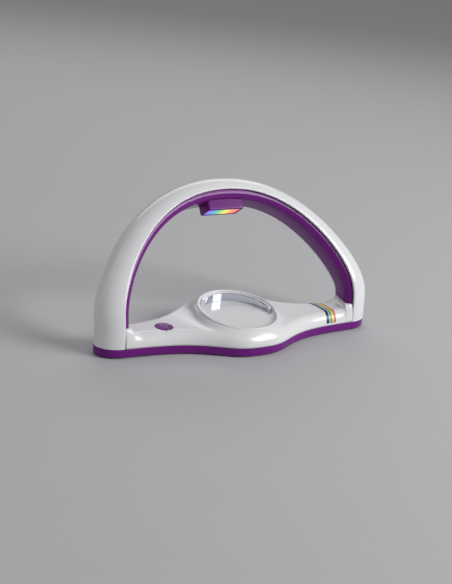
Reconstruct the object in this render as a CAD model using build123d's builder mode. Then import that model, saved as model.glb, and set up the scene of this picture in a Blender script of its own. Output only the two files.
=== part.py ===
from build123d import *
import os
from math import cos, hypot, pi, radians, sin, sqrt, tan

# Rainbow projector night light: a low bell-shaped base, an arch that rises from
# its two ends and leans back, a lamp hung from the arch's crown, and a curved
# mirror at the back of a shallow dish, which throws the lamp's light out as a bow.
# Frame: X runs from leg to leg, Y to the back, Z up.
# The origin is on the desk, under the middle of the whole. Lengths are in millimetres.

# Overall form
SPAN = 240.0
FOOT_LINE_Y = -14.16
LEG_CROWN = 18.2
RIM_HALF = SPAN / 2 - LEG_CROWN
TOP_CROWN = 12.7
LEG_HALF_DEPTH = 13.4
TOP_HALF_DEPTH = 14.7
RIM_RISE = 84.5
RIM_START_Z = 32.1
RIM_WIDTH_POWER = 0.93
RIM_RISE_POWER = 1.4
LEAN = 36.0
LEAN_BLEND = 17.0
ARCH_WALL = 2.0
LEG_STEP = 12.0

# Liner, the inner cover of the arch
LINER_PROUD = 6.2
LINER_WALL = 1.8
LINER_TONGUE = 5.0
LINER_CORNER = 4.5
LINER_END_Z = 22.1
LINER_DRAFT = 5.0
LINER_DRAFT_BLEND = 22.0
LINER_DRAFT_POWER = 8
LINER_STRAIGHT = 0.1
SNAP_CLEARANCE = 0.15

# Base
FOOT_PROUD = 0.8
BAND_HEIGHT = 6.4
COVER_TOP_Z = 17.2
FRONT_BULGE = 35.9
REAR_BULGE = 48.5
BELL_FRONT_HALF = 38.7
BELL_REAR_HALF = 42.0
BELL_POWER = 2.95
EDGE_ROUND = 6.0
BASE_WALL = 1.8
BAND_ROUND = 1.2
LIP_HEIGHT = 1.6
LIP_WALL = 1.2
LIP_CLEARANCE = 0.35
FLARE_INSET = 0.1
FLARE_ROOT = 3.0
FLARE_ROOT_DROP = 0.6
PART_GAP = 0.3

# Dish and mirror
RING_RADIUS = 31.0
RING_WIDTH = 2.4
RING_Y = FOOT_LINE_Y + 3.0
RING_Z = 22.8
RING_TILT = 6.3
RING_EASE = 0.6
DISH_FLOOR_Z = 18.3
MIRROR_START = -2.0
MIRROR_SWEEP = 134.0
MIRROR_THICKNESS = 1.0
CARRIER_THICKNESS = 1.2
CARRIER_LIP = 1.0
MIRROR_TOP_DROP = 0.9

# Power button and its switch
BUTTON_INSET = 35.8
BUTTON_X = BUTTON_INSET - RIM_HALF
BUTTON_Y = FOOT_LINE_Y - 1.0
BUTTON_RADIUS = 6.5
BUTTON_PROUD = 0.5
BUTTON_TRAVEL = 0.8
BUTTON_FLANGE = 1.2
BUTTON_FLANGE_OVERLAP = 0.9
BUTTON_FLANGE_GAP = 0.5
BUTTON_STEM_RADIUS = 2.2
BUTTON_CLEARANCE = 0.2
SWITCH_SIDE = 6.0
SWITCH_HEIGHT = 3.5
PLUNGER_RADIUS = 1.7
PLUNGER_CLEARANCE = 0.1
PLUNGER_SEAT = 1.1

# Main board
BOARD_LENGTH = 34.0
BOARD_WIDTH = 17.0
BOARD_THICKNESS = 1.6
BOARD_X = BUTTON_X + 4.0
BOARD_Y = FOOT_LINE_Y + 1.0
BOARD_Z = 5.0
BOARD_POST_RADIUS = 1.8
CHIP_LENGTH = 5.0
CHIP_WIDTH = 4.0
CHIP_HEIGHT = 1.5
CAPACITOR_RADIUS = 2.5
CAPACITOR_HEIGHT = 5.5

# Battery bay: size AAA cells, side by side
CELL_RADIUS = 5.25
CELL_LENGTH = 44.5
CELL_NUB_RADIUS = 1.9
CELL_NUB_LENGTH = 1.2
CELL_COUNT = 4
CELL_PITCH = 11.2
CELL_CLEARANCE = 0.3
BAY_Y = FOOT_LINE_Y + 4.0
BAY_WALL = 1.4
BAY_ROOF = 1.2
CONTACT_THICKNESS = 0.4
CONTACT_WIDTH = 7.0
CONTACT_HEIGHT = 8.0
SPRING_REACH = 2.4
SPRING_WIDTH = 5.0
DOOR_THICKNESS = 1.6
DOOR_CLEARANCE = 0.3
DOOR_HINGE_GAP = 0.8
DOOR_TAB_LENGTH = 7.0
DOOR_TAB_WIDTH = 10.0
HINGE_TAB_WIDTH = 8.0
HINGE_TAB_SPACING = 26.0
HINGE_TAB_REACH = 1.6
HINGE_Z = 1.4
HINGE_RADIUS = 0.8
HINGE_PIN_END = 1.2
HINGE_CLEARANCE = 0.08
DOOR_TAB_THICKNESS = 2.6
DOOR_SCREW_REACH = 5.0
DOOR_SCREW_CLEARANCE = 0.45
GRIP_PITCH = 2.4
GRIP_COUNT = 4
GRIP_LENGTH = 12.0
GRIP_WIDTH = 1.2
GRIP_DEPTH = 0.5

# Fasteners and feet
SCREW_SHANK_RADIUS = 1.3
SCREW_HEAD_RADIUS = 2.6
SCREW_HEAD_HEIGHT = 1.6
SCREW_LENGTH = 8.0
SCREW_RECESS = 0.6
SCREW_CLEARANCE = 0.25
SLOT_WIDTH = 0.8
PILOT_CLEARANCE = 0.05
BOSS_RADIUS = 3.2
BOSS_WALL = 1.2
CASE_SCREW_INSET = 12.8
CASE_SCREW_REACH = 17.0
CASE_SCREWS = (
    (CASE_SCREW_INSET - RIM_HALF, FOOT_LINE_Y + 1.0),
    (RIM_HALF - CASE_SCREW_INSET, FOOT_LINE_Y + 1.0),
    (-RING_RADIUS - CASE_SCREW_REACH, FOOT_LINE_Y + 14.0),
    (RING_RADIUS + CASE_SCREW_REACH, FOOT_LINE_Y + 14.0),
)
LEG_SCREW_X = RIM_HALF + 7.7
LEG_BOSS_HEIGHT = 12.0
FOOT_RADIUS = 3.6
FOOT_THICKNESS = 1.6
FOOT_SIDE_X = RIM_HALF - 2.8
FOOT_FRONT_INSET = 5.0
FOOT_REAR_INSET = 8.0

# Lamp under the crown
LAMP_WIDTH = 32.0
LAMP_DEPTH = 15.0
LAMP_DROP = 8.2
LAMP_WALL = 1.5
LAMP_CORNER = 2.0
LAMP_EASE = 1.0
LAMP_FLANGE = 1.2
LAMP_FLANGE_THICKNESS = 1.5
LENS_THICKNESS = 1.8
LENS_RECESS = 0.5
LENS_LEDGE = 1.0
LED_COUNT = 6
LED_PITCH = 4.5
LED_LENGTH = 3.0
LED_WIDTH = 2.8
LED_HEIGHT = 1.2
LAMP_BOARD_THICKNESS = 1.2
BAFFLE_GAP = 0.3
BAFFLE_WALL = 0.6

# Wires
LEAD_RADIUS = 1.2
LEAD_OFFSET = 6.5

# Places that follow from the sizes above
BAND_TOP = FOOT_PROUD + BAND_HEIGHT
FLOOR_TOP = FOOT_PROUD + BASE_WALL
COVER_UNDER = COVER_TOP_Z - BASE_WALL
COVER_HALF = RIM_HALF - PART_GAP
BAY_FLOOR = FOOT_PROUD + DOOR_THICKNESS
CELL_Z = BAY_FLOOR + CELL_CLEARANCE + CELL_RADIUS
BAY_LENGTH = CELL_LENGTH + SPRING_REACH + 2 * CONTACT_THICKNESS + CELL_CLEARANCE
BAY_WIDTH = CELL_PITCH * CELL_COUNT + CELL_CLEARANCE
BAY_CEILING = CELL_Z + CELL_RADIUS + CELL_CLEARANCE
BAY_TOP = BAY_CEILING + BAY_ROOF
BAY_FRONT = BAY_Y - BAY_WIDTH / 2
BAY_REAR = BAY_Y + BAY_WIDTH / 2
HEAD_BOTTOM = FOOT_PROUD + SCREW_RECESS
SHANK_BOTTOM = HEAD_BOTTOM + SCREW_HEAD_HEIGHT
SCREW_TOP = SHANK_BOTTOM + SCREW_LENGTH
LOW_BOSS_TOP = SHANK_BOTTOM + BASE_WALL


def softened(v):
    """Length along the lean at height v over the rim's start, and its slope."""
    reach = hypot(v, LEAN_BLEND)
    return (v + reach) / 2, (1 + v / reach) / 2


def leaned(x, depth, v):
    """A point of the arch: x across, depth to its back and v up, leaned back."""
    run, slope = softened(v)
    turn = radians(LEAN) * slope
    y = FOOT_LINE_Y + sin(radians(LEAN)) * run + depth * cos(turn)
    z = RIM_START_Z + v - (1 - cos(radians(LEAN))) * run - depth * sin(turn)
    return Vector(x, y, z)


def rim(angle):
    """Place and outward normal of the arch's rim, in the plane that leans."""
    c, s = cos(radians(angle)), max(sin(radians(angle)), 1e-4)
    side = 1 if c > 0 else -1
    width = max(abs(c), 1e-9)
    x = RIM_HALF * side * width ** RIM_WIDTH_POWER
    v = RIM_RISE * s ** RIM_RISE_POWER
    dx = -RIM_HALF * RIM_WIDTH_POWER * width ** (RIM_WIDTH_POWER - 1) * s
    dv = RIM_RISE * RIM_RISE_POWER * s ** (RIM_RISE_POWER - 1) * c
    size = hypot(dx, dv)
    return x, v, dv / size, -dx / size


def section_plane(x, v, out_x, out_v):
    """Plane across the arch: local x points out of it, local y to its back."""
    turn = radians(LEAN) * softened(v)[1]
    outward = Vector(out_x, out_v * sin(turn), out_v * cos(turn))
    back = Vector(0, cos(turn), -sin(turn))
    return Plane(origin=leaned(x, 0, v), x_dir=outward, z_dir=outward.cross(back))


def swell(v, at_top, at_leg):
    """A size that grows evenly from the crown down to the rim's start."""
    share = min(max((RIM_RISE - v) / RIM_RISE, 0.0), 1.0)
    return at_top + (at_leg - at_top) * share


def stations(steps):
    """Stations from the right leg, over the crown, to the left leg."""
    legs = [(RIM_HALF, -LEG_STEP * count, 1.0, 0.0) for count in range(steps, -1, -1)]
    curve = [rim(angle) for angle in (14, 23, 31, 40, 49, 58, 68, 79)]
    right = legs + curve
    left = [(-x, v, -out_x, out_v) for x, v, out_x, out_v in reversed(right)]
    return right + [rim(90)] + left


def liner_draft(v):
    """How much less the liner's back edge stands proud: most at the arch's shoulders."""
    share = min(max((RIM_START_Z + v - LINER_END_Z) / LINER_DRAFT_BLEND, 0.0), 1.0)
    fade = 1 - max(v / RIM_RISE, 0.0) ** LINER_DRAFT_POWER
    return LINER_DRAFT * share * share * (3 - 2 * share) * fade


LEG_Y = leaned(0, 0, BAND_TOP - RIM_START_Z).Y
LEG_BACK = LEG_Y - FOOT_LINE_Y


def bell(x, half):
    """1 at the middle, 0 at the legs."""
    at_leg = 1 / (1 + (RIM_HALF / half) ** BELL_POWER)
    return (1 / (1 + abs(x / half) ** BELL_POWER) - at_leg) / (1 - at_leg)


def front_y(x):
    leg = LEG_HALF_DEPTH - LEG_BACK
    return FOOT_LINE_Y - leg - (FRONT_BULGE - leg) * bell(x, BELL_FRONT_HALF)


def rear_y(x):
    leg = LEG_HALF_DEPTH + LEG_BACK
    return FOOT_LINE_Y + leg + (REAR_BULGE - leg) * bell(x, BELL_REAR_HALF)


def base_outline(inset):
    """The base's outline, drawn in by inset."""
    steps = [RIM_HALF * share / 7 for share in range(-7, 8)]
    crown, half = LEG_CROWN - inset, LEG_HALF_DEPTH - inset
    with BuildSketch() as outline:
        with BuildLine():
            Spline(*[(x, front_y(x) + inset) for x in steps], tangents=((1, 0), (1, 0)))
            EllipticalCenterArc((RIM_HALF, LEG_Y), crown, half, -90, arc_size=180)
            Spline(*[(-x, rear_y(-x) - inset) for x in steps], tangents=((-1, 0), (-1, 0)))
            EllipticalCenterArc((-RIM_HALF, LEG_Y), crown, half, 90, arc_size=180)
        make_face()
    return outline.sketch


def rounded_base(wall, bottom):
    """Levels of the base's low rounded form, a wall inside its outer faces."""
    rise = COVER_TOP_Z - wall - BAND_TOP
    levels = []
    for angle in (0, 30, 52, 72, 90):
        inset = EDGE_ROUND * (1 - cos(radians(angle)))
        z = bottom if angle == 0 else BAND_TOP + rise * sin(radians(angle))
        with BuildSketch(Plane.XY.offset(z)) as level:
            add(base_outline(inset + wall))
        levels.append(level.sketch)
    return levels


def screw_places():
    return CASE_SCREWS + ((-LEG_SCREW_X, LEG_Y), (LEG_SCREW_X, LEG_Y))


LAMP_TURN = radians(LEAN) * softened(RIM_RISE)[1]
LAMP_PLANE = Plane(
    origin=leaned(0, 0, RIM_RISE), x_dir=(1, 0, 0), z_dir=(0, sin(LAMP_TURN), cos(LAMP_TURN))
)
RING_PLANE = Plane(
    origin=(0, RING_Y, RING_Z),
    x_dir=(1, 0, 0),
    z_dir=(0, -sin(radians(RING_TILT)), cos(radians(RING_TILT))),
)
RING_SECTION = Plane(
    origin=RING_PLANE.origin, x_dir=RING_PLANE.x_dir, z_dir=-RING_PLANE.y_dir
)
RING_OUTER = RING_RADIUS + RING_WIDTH / 2
DISH_RADIUS = RING_RADIUS - RING_WIDTH / 2
FLANK = ((1.4, -1.3), (4.2, -3.8), (8.0, -5.9), (13.0, -7.2))
FLANK_DEPTH = 10.5
FRONT_ROUND = ((0.7, 0), (1.6, 4.8), (2.6, 8.0), (4.2, 10.8), (6.0, 13.0), (7.0, 16.0), (7.6, 24.0))


def dome_limit(wall):
    """Levels of the upright form that keeps the dome inside the base's outline."""
    levels = []
    for inset, rise in FRONT_ROUND:
        with BuildSketch(Plane.XY.offset(BAND_TOP + rise)) as level:
            add(base_outline(inset + wall))
        levels.append(level.sketch)
    return levels


LIP_INSET = max(BASE_WALL, ARCH_WALL) + LIP_CLEARANCE
WEB_BOTTOM = BAND_TOP + LIP_HEIGHT + PART_GAP
WEB_LENGTH = SPAN / 2 - ARCH_WALL / 2 - LEG_SCREW_X
WEB_X = LEG_SCREW_X + WEB_LENGTH / 2
DOOR_SCREW_TOP = FOOT_PROUD + DOOR_TAB_THICKNESS + DOOR_SCREW_REACH
TAB_SCREW_Y = BAY_FRONT - DOOR_TAB_LENGTH / 2
TAB_PAD_LENGTH = DOOR_TAB_LENGTH + DOOR_CLEARANCE + BOSS_WALL
HINGE_Y = BAY_REAR + HINGE_TAB_REACH
HINGE_SLOT_END = HINGE_Y + HINGE_Z + DOOR_CLEARANCE
HINGE_PIN_LENGTH = HINGE_TAB_WIDTH + 2 * HINGE_PIN_END
HINGE_PAD_LENGTH = HINGE_TAB_SPACING + HINGE_PIN_LENGTH + 2 * BOSS_WALL
HINGE_PAD_REACH = HINGE_Z + DOOR_CLEARANCE + BOSS_WALL
FEET = (
    (-FOOT_SIDE_X, LEG_Y),
    (FOOT_SIDE_X, LEG_Y),
    (0, front_y(0) + FOOT_FRONT_INSET),
    (0, rear_y(0) - FOOT_REAR_INSET),
)
BOARD_TOP = BOARD_Z + BOARD_THICKNESS
PLUNGER_TOP = BOARD_TOP + SWITCH_HEIGHT + BUTTON_TRAVEL
PLUNGER_BOTTOM = PLUNGER_TOP - BUTTON_TRAVEL - PLUNGER_SEAT
BUTTON_TOP = COVER_TOP_Z + BUTTON_PROUD
BUTTON_BOTTOM = COVER_UNDER - BUTTON_FLANGE_GAP - BUTTON_FLANGE
MIRROR_RADIUS = DISH_RADIUS - SNAP_CLEARANCE - CARRIER_THICKNESS - MIRROR_THICKNESS / 2
CARRIER_RADIUS = DISH_RADIUS - SNAP_CLEARANCE - CARRIER_THICKNESS / 2
END_TURN = (CARRIER_LIP + SNAP_CLEARANCE) / MIRROR_RADIUS * 180 / pi
END_GAP_TURN = SNAP_CLEARANCE / MIRROR_RADIUS * 180 / pi
FLANGE_BOTTOM = LINER_WALL + SNAP_CLEARANCE - LINER_PROUD
FLANGE_TOP = FLANGE_BOTTOM + LAMP_FLANGE_THICKNESS
LAMP_BOTTOM = -LINER_PROUD - LAMP_DROP
LENS_LENGTH = LAMP_WIDTH - 2 * LAMP_WALL - 2 * SNAP_CLEARANCE
LENS_DEPTH = LAMP_DEPTH - 2 * LAMP_WALL - 2 * SNAP_CLEARANCE
BAFFLE_BOTTOM = LAMP_BOTTOM + LENS_RECESS + LENS_THICKNESS + BAFFLE_GAP
BAFFLE_DEPTH = LENS_DEPTH - 2 * LENS_LEDGE - 2 * BAFFLE_GAP
FLARE_TOP = LINER_END_Z - PART_GAP
FLARE_IN = RIM_HALF - LINER_PROUD
FLARE_RADIUS = FLARE_TOP - COVER_TOP_Z
FLARE_HALF = LEG_HALF_DEPTH - ARCH_WALL - SNAP_CLEARANCE
FLARE_SIDE = LEG_HALF_DEPTH - FLARE_INSET
def flare_section(x, top, corner):
    """Section of a leg's flare at x: sides that draw in by corner up to the top."""
    halves = []
    for angle in (0, 25, 50, 70, 90):
        z = BAND_TOP + (top - BAND_TOP) * sin(radians(angle))
        middle = leaned(0, 0, z - RIM_START_Z).Y
        halves.append((middle, FLARE_SIDE - corner * (1 - cos(radians(angle))), z))
    with BuildSketch(Plane.YZ.offset(x)) as section:
        with BuildLine():
            front = [(middle - half, z) for middle, half, z in halves]
            back = [(middle + half, z) for middle, half, z in reversed(halves)]
            Spline(*front)
            Line(front[-1], back[0])
            Spline(*back)
            Line(back[-1], front[0])
        make_face()
    return section.sketch


def flare(side):
    """Sections of a flare, from the base's top out to the seam at the leg."""
    root = FLARE_IN - FLARE_RADIUS - FLARE_ROOT
    sections = [flare_section(side * root, COVER_TOP_Z - FLARE_ROOT_DROP, EDGE_ROUND)]
    for angle in (25, 45, 60, 75, 90):
        x = FLARE_IN - FLARE_RADIUS * (1 - sin(radians(angle)))
        top = COVER_TOP_Z + FLARE_RADIUS * (1 - cos(radians(angle)))
        sections.append(flare_section(side * x, top, EDGE_ROUND))
    for step in (0.5, 1.4, 2.8, LINER_CORNER, COVER_HALF - FLARE_IN):
        turn = max(LINER_CORNER - step, 0)
        half = FLARE_HALF - LINER_CORNER + sqrt(LINER_CORNER ** 2 - turn ** 2)
        corner = min(FLARE_SIDE - half, EDGE_ROUND)
        sections.append(flare_section(side * (FLARE_IN + step), FLARE_TOP, corner))
    return sections


os.makedirs("parts", exist_ok=True)

# Arch shell: a D in section, crowned outside and open towards the liner
with BuildPart() as arch_shell:
    for x, v, out_x, out_v in stations(3):
        with BuildSketch(section_plane(x, v, out_x, out_v)):
            crown = swell(v, TOP_CROWN, LEG_CROWN)
            half = swell(v, TOP_HALF_DEPTH, LEG_HALF_DEPTH)
            with BuildLine():
                EllipticalCenterArc((0, 0), crown, half, -90, arc_size=180)
                Line((0, half), (0, -half))
            make_face()
    loft()
    for x, v, out_x, out_v in stations(3):
        with BuildSketch(section_plane(x, v, out_x, out_v)):
            crown = swell(v, TOP_CROWN, LEG_CROWN) - ARCH_WALL
            half = swell(v, TOP_HALF_DEPTH, LEG_HALF_DEPTH) - ARCH_WALL
            with BuildLine():
                EllipticalCenterArc((0, 0), crown, half, -90, arc_size=180)
                Polyline((0, half), (-2, half), (-2, -half), (0, -half))
            make_face()
    loft(mode=Mode.SUBTRACT)
    with BuildSketch(Plane.XY.offset(BAND_TOP)):
        Rectangle(2 * SPAN, SPAN)
    extrude(amount=-40, mode=Mode.SUBTRACT)
    # Straight inner edges of the legs, beside the base cover
    with BuildSketch(Plane.XY.offset(BAND_TOP - 1)):
        Rectangle(2 * COVER_HALF + PART_GAP, SPAN)
    extrude(amount=FLARE_TOP - BAND_TOP, mode=Mode.SUBTRACT)
    # Screw bosses inside the two legs, with webs to the crowned side
    with BuildSketch(Plane.XY.offset(LOW_BOSS_TOP + PART_GAP)):
        with Locations((-LEG_SCREW_X, LEG_Y), (LEG_SCREW_X, LEG_Y)):
            Circle(BOSS_RADIUS)
    extrude(amount=LEG_BOSS_HEIGHT)
    with BuildSketch(Plane.XY.offset(WEB_BOTTOM)):
        with Locations((-WEB_X, LEG_Y), (WEB_X, LEG_Y)):
            Rectangle(WEB_LENGTH, ARCH_WALL)
    extrude(amount=LOW_BOSS_TOP + PART_GAP + LEG_BOSS_HEIGHT - WEB_BOTTOM)
    with BuildSketch(Plane.XY.offset(LOW_BOSS_TOP)):
        with Locations((-LEG_SCREW_X, LEG_Y), (LEG_SCREW_X, LEG_Y)):
            Circle(SCREW_SHANK_RADIUS + PILOT_CLEARANCE)
    extrude(amount=SCREW_TOP + 1 - LOW_BOSS_TOP, mode=Mode.SUBTRACT)
arch_shell.part.label = "arch_shell"
export_step(arch_shell.part, "parts/arch_shell.step")

# Liner: the inner cover of the arch, a rounded channel with its lips inside the shell
with BuildPart() as arch_liner:
    for wall in (0.0, LINER_WALL):
        for x, v, out_x, out_v in stations(2):
            reach = swell(v, TOP_HALF_DEPTH, LEG_HALF_DEPTH) - ARCH_WALL - SNAP_CLEARANCE
            slope = liner_draft(v) / (2 * reach)
            half = reach - wall
            front = wall * (hypot(1, slope) + slope) - LINER_PROUD
            back = front + slope * 2 * half
            top = LINER_TONGUE + 3 * wall
            corner = LINER_CORNER - wall
            back_corner = min(corner, top - back - corner - LINER_STRAIGHT)
            corners = ((front, -half), (top, -half), (top, half), (back, half))
            with BuildSketch(section_plane(x, v, out_x, out_v)):
                with BuildLine():
                    FilletPolyline(*corners, radius=[corner, corner, corner, back_corner], close=True)
                make_face()
        loft(mode=Mode.SUBTRACT if wall > 0 else Mode.ADD)
    with BuildSketch(Plane.XY.offset(LINER_END_Z)):
        Rectangle(2 * SPAN, SPAN)
    extrude(amount=-30, mode=Mode.SUBTRACT)
    with BuildSketch(LAMP_PLANE.offset(-LINER_PROUD - 3.0)):
        Rectangle(LAMP_WIDTH + 2 * PART_GAP, LAMP_DEPTH + 2 * PART_GAP)
    extrude(amount=LINER_WALL + 5.0, mode=Mode.SUBTRACT)
arch_liner.part.label = "arch_liner"
export_step(arch_liner.part, "parts/arch_liner.step")

# Dome: the ring with its outer flank, kept inside the base's outline
with BuildPart() as dome_form:
    with BuildSketch(RING_SECTION):
        with BuildLine():
            Line((0, 0), (RING_RADIUS, 0))
            Spline(
                *[(RING_RADIUS, 0)] + [(RING_OUTER + r, h) for r, h in FLANK],
                tangents=((1, 0), (1, -0.2)),
            )
            Polyline(
                (RING_OUTER + FLANK[-1][0], FLANK[-1][1]),
                (RING_OUTER + FLANK[-1][0], -FLANK_DEPTH),
                (0, -FLANK_DEPTH),
                (0, 0),
            )
        make_face()
    revolve(axis=Axis(RING_PLANE.origin, RING_PLANE.z_dir))
    loft(dome_limit(0.0), mode=Mode.INTERSECT)

# The hollow under the dome's flank, round the dish
with BuildPart() as flank_hollow:
    with BuildSketch(RING_SECTION):
        with BuildLine():
            Spline(*[(RING_OUTER, -BASE_WALL)] + [(RING_OUTER + r, h - BASE_WALL) for r, h in FLANK])
            Polyline(
                (RING_OUTER + FLANK[-1][0], FLANK[-1][1] - BASE_WALL),
                (RING_OUTER + FLANK[-1][0], -2 * FLANK_DEPTH),
                (DISH_RADIUS + BASE_WALL, -2 * FLANK_DEPTH),
                (DISH_RADIUS + BASE_WALL, -BASE_WALL),
                (RING_OUTER, -BASE_WALL),
            )
        make_face()
    revolve(axis=Axis(RING_PLANE.origin, RING_PLANE.z_dir))
    loft(dome_limit(BASE_WALL), mode=Mode.INTERSECT)

# Base cover: the low rounded top with its dome, dish, button hole and leg flares
with BuildPart() as base_cover:
    loft(rounded_base(0.0, BAND_TOP))
    with BuildSketch():
        Rectangle(2 * COVER_HALF, 2 * SPAN)
    extrude(amount=2 * COVER_TOP_Z, mode=Mode.INTERSECT)
    # Flares that rise to the liner's ends
    for side in (-1, 1):
        loft(flare(side), ruled=True)
    add(dome_form.part)
    # Hollow inside, open to the bottom housing
    loft(rounded_base(BASE_WALL, BAND_TOP - 1.0), mode=Mode.SUBTRACT)
    add(flank_hollow.part, mode=Mode.SUBTRACT)
    # Dish with an upright wall in the ring and a level floor
    with BuildSketch(RING_PLANE.offset(-2 * FLANK_DEPTH)):
        Circle(DISH_RADIUS)
    dish = extrude(amount=3 * FLANK_DEPTH, mode=Mode.PRIVATE)
    with BuildSketch(Plane.XY.offset(DISH_FLOOR_Z)):
        with Locations((0, RING_Y)):
            Circle(2 * DISH_RADIUS)
    air = extrude(amount=3 * FLANK_DEPTH, mode=Mode.PRIVATE)
    add(dish & air, mode=Mode.SUBTRACT)
    with BuildSketch(RING_PLANE.offset(RING_EASE)):
        Circle(DISH_RADIUS + 2 * RING_EASE)
    extrude(amount=-2 * RING_EASE, taper=45, mode=Mode.SUBTRACT)
    # Room inside the flares
    with BuildSketch(Plane.XY.offset(BAND_TOP - 1)):
        with Locations((-COVER_HALF, LEG_Y), (COVER_HALF, LEG_Y)):
            Rectangle(2 * (COVER_HALF - FLARE_IN - BASE_WALL), 2 * (FLARE_HALF - LINER_CORNER))
    extrude(amount=FLARE_TOP - BASE_WALL - BAND_TOP + 1, mode=Mode.SUBTRACT)
    # Screw bosses under the cover
    with BuildSketch(Plane.XY.offset(LOW_BOSS_TOP + PART_GAP)):
        with Locations(CASE_SCREWS):
            Circle(BOSS_RADIUS)
    extrude(amount=COVER_UNDER + 0.5 - LOW_BOSS_TOP - PART_GAP)
    with BuildSketch(Plane.XY.offset(LOW_BOSS_TOP)):
        with Locations(CASE_SCREWS):
            Circle(SCREW_SHANK_RADIUS + PILOT_CLEARANCE)
    extrude(amount=SCREW_TOP + 1 - LOW_BOSS_TOP, mode=Mode.SUBTRACT)
    # Hole for the power button
    with BuildSketch(Plane.XY.offset(COVER_UNDER - 1)):
        with Locations((BUTTON_X, BUTTON_Y)):
            Circle(BUTTON_RADIUS + BUTTON_CLEARANCE)
    extrude(amount=BASE_WALL + 3, mode=Mode.SUBTRACT)
base_cover.part.label = "base_cover"
export_step(base_cover.part, "parts/base_cover.step")

# Base housing: the coloured tray with its band, battery bay, bosses and posts
with BuildPart() as base_housing:
    with BuildSketch(Plane.XY.offset(FOOT_PROUD)):
        add(base_outline(0.0))
    extrude(amount=BAND_HEIGHT)
    fillet(base_housing.edges().group_by(Axis.Z)[0], BAND_ROUND)
    with BuildSketch(Plane.XY.offset(FLOOR_TOP)):
        add(base_outline(LIP_INSET + LIP_WALL))
    extrude(amount=BAND_HEIGHT, mode=Mode.SUBTRACT)
    # Lip that the cover and the legs slip over
    with BuildSketch(Plane.XY.offset(BAND_TOP)):
        add(base_outline(LIP_INSET))
        add(base_outline(LIP_INSET + LIP_WALL), mode=Mode.SUBTRACT)
    extrude(amount=LIP_HEIGHT)
    # Battery bay, with pads under the door's tab and hinge
    with BuildSketch(Plane.XY.offset(FLOOR_TOP)):
        with Locations((0, BAY_Y)):
            Rectangle(BAY_LENGTH + 2 * BAY_WALL, BAY_WIDTH + 2 * BAY_WALL)
    extrude(amount=BAY_TOP - FLOOR_TOP)
    with BuildSketch(Plane.XY.offset(FLOOR_TOP)):
        with Locations((0, BAY_FRONT - TAB_PAD_LENGTH / 2)):
            Rectangle(DOOR_TAB_WIDTH + 2 * BOSS_WALL, TAB_PAD_LENGTH)
    extrude(amount=DOOR_TAB_THICKNESS)
    with BuildSketch(Plane.XY.offset(FLOOR_TOP)):
        with Locations((0, TAB_SCREW_Y)):
            Circle(BOSS_RADIUS)
    extrude(amount=DOOR_SCREW_TOP + 1 - FLOOR_TOP)
    with BuildSketch(Plane.XY.offset(FLOOR_TOP)):
        with Locations((0, HINGE_Y)):
            Rectangle(HINGE_PAD_LENGTH, 2 * HINGE_PAD_REACH)
    extrude(amount=HINGE_Z + HINGE_RADIUS + BOSS_WALL - BASE_WALL)
    with BuildSketch(Plane.XY.offset(FOOT_PROUD)):
        with Locations((0, BAY_Y)):
            Rectangle(BAY_LENGTH, BAY_WIDTH)
    extrude(amount=BAY_CEILING - FOOT_PROUD, mode=Mode.SUBTRACT)
    with BuildSketch(Plane.XY.offset(FOOT_PROUD)):
        with Locations((0, BAY_FRONT - DOOR_TAB_LENGTH / 2)):
            Rectangle(DOOR_TAB_WIDTH + 2 * DOOR_CLEARANCE, DOOR_TAB_LENGTH + 2 * DOOR_CLEARANCE)
    extrude(amount=DOOR_TAB_THICKNESS + SNAP_CLEARANCE, mode=Mode.SUBTRACT)
    with BuildSketch(Plane.XY.offset(FOOT_PROUD)):
        with Locations((0, TAB_SCREW_Y)):
            Circle(SCREW_SHANK_RADIUS + DOOR_SCREW_CLEARANCE)
    extrude(amount=DOOR_SCREW_TOP + 0.5 - FOOT_PROUD, mode=Mode.SUBTRACT)
    # Hinge slots and pin holes at the back of the bay
    with BuildSketch(Plane.XY.offset(FOOT_PROUD)):
        with GridLocations(HINGE_TAB_SPACING, 0, 2, 1):
            with Locations((0, (BAY_REAR + HINGE_SLOT_END) / 2)):
                Rectangle(HINGE_TAB_WIDTH + 2 * DOOR_CLEARANCE, HINGE_SLOT_END - BAY_REAR)
    extrude(amount=HINGE_Z + HINGE_RADIUS + SNAP_CLEARANCE, mode=Mode.SUBTRACT)
    with BuildSketch(Plane.YZ.offset(-HINGE_PIN_LENGTH / 2 - SNAP_CLEARANCE)) as pin_holes:
        with Locations((HINGE_Y, FOOT_PROUD + HINGE_Z)):
            Circle(HINGE_RADIUS + HINGE_CLEARANCE)
    for x in (-HINGE_TAB_SPACING / 2, HINGE_TAB_SPACING / 2):
        hole = extrude(
            pin_holes.sketch, amount=HINGE_PIN_LENGTH + 2 * SNAP_CLEARANCE, mode=Mode.PRIVATE
        )
        add(Pos(x, 0, 0) * hole, mode=Mode.SUBTRACT)
    # Case screw bosses with sunk heads
    with BuildSketch(Plane.XY.offset(FLOOR_TOP)):
        with Locations(screw_places()):
            Circle(SCREW_HEAD_RADIUS + SCREW_CLEARANCE + BOSS_WALL)
    extrude(amount=LOW_BOSS_TOP - FLOOR_TOP)
    with BuildSketch(Plane.XY.offset(FOOT_PROUD)):
        with Locations(screw_places()):
            Circle(SCREW_HEAD_RADIUS + SCREW_CLEARANCE)
    extrude(amount=SHANK_BOTTOM - FOOT_PROUD, mode=Mode.SUBTRACT)
    with BuildSketch(Plane.XY.offset(FOOT_PROUD)):
        with Locations(screw_places()):
            Circle(SCREW_SHANK_RADIUS + SCREW_CLEARANCE)
    extrude(amount=LOW_BOSS_TOP + 1 - FOOT_PROUD, mode=Mode.SUBTRACT)
    # Posts for the main board
    with BuildSketch(Plane.XY.offset(FLOOR_TOP)):
        with Locations((BOARD_X, BOARD_Y)):
            with GridLocations(BOARD_LENGTH - 4, BOARD_WIDTH - 4, 2, 2):
                Circle(BOARD_POST_RADIUS)
    extrude(amount=BOARD_Z - FLOOR_TOP)
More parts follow.
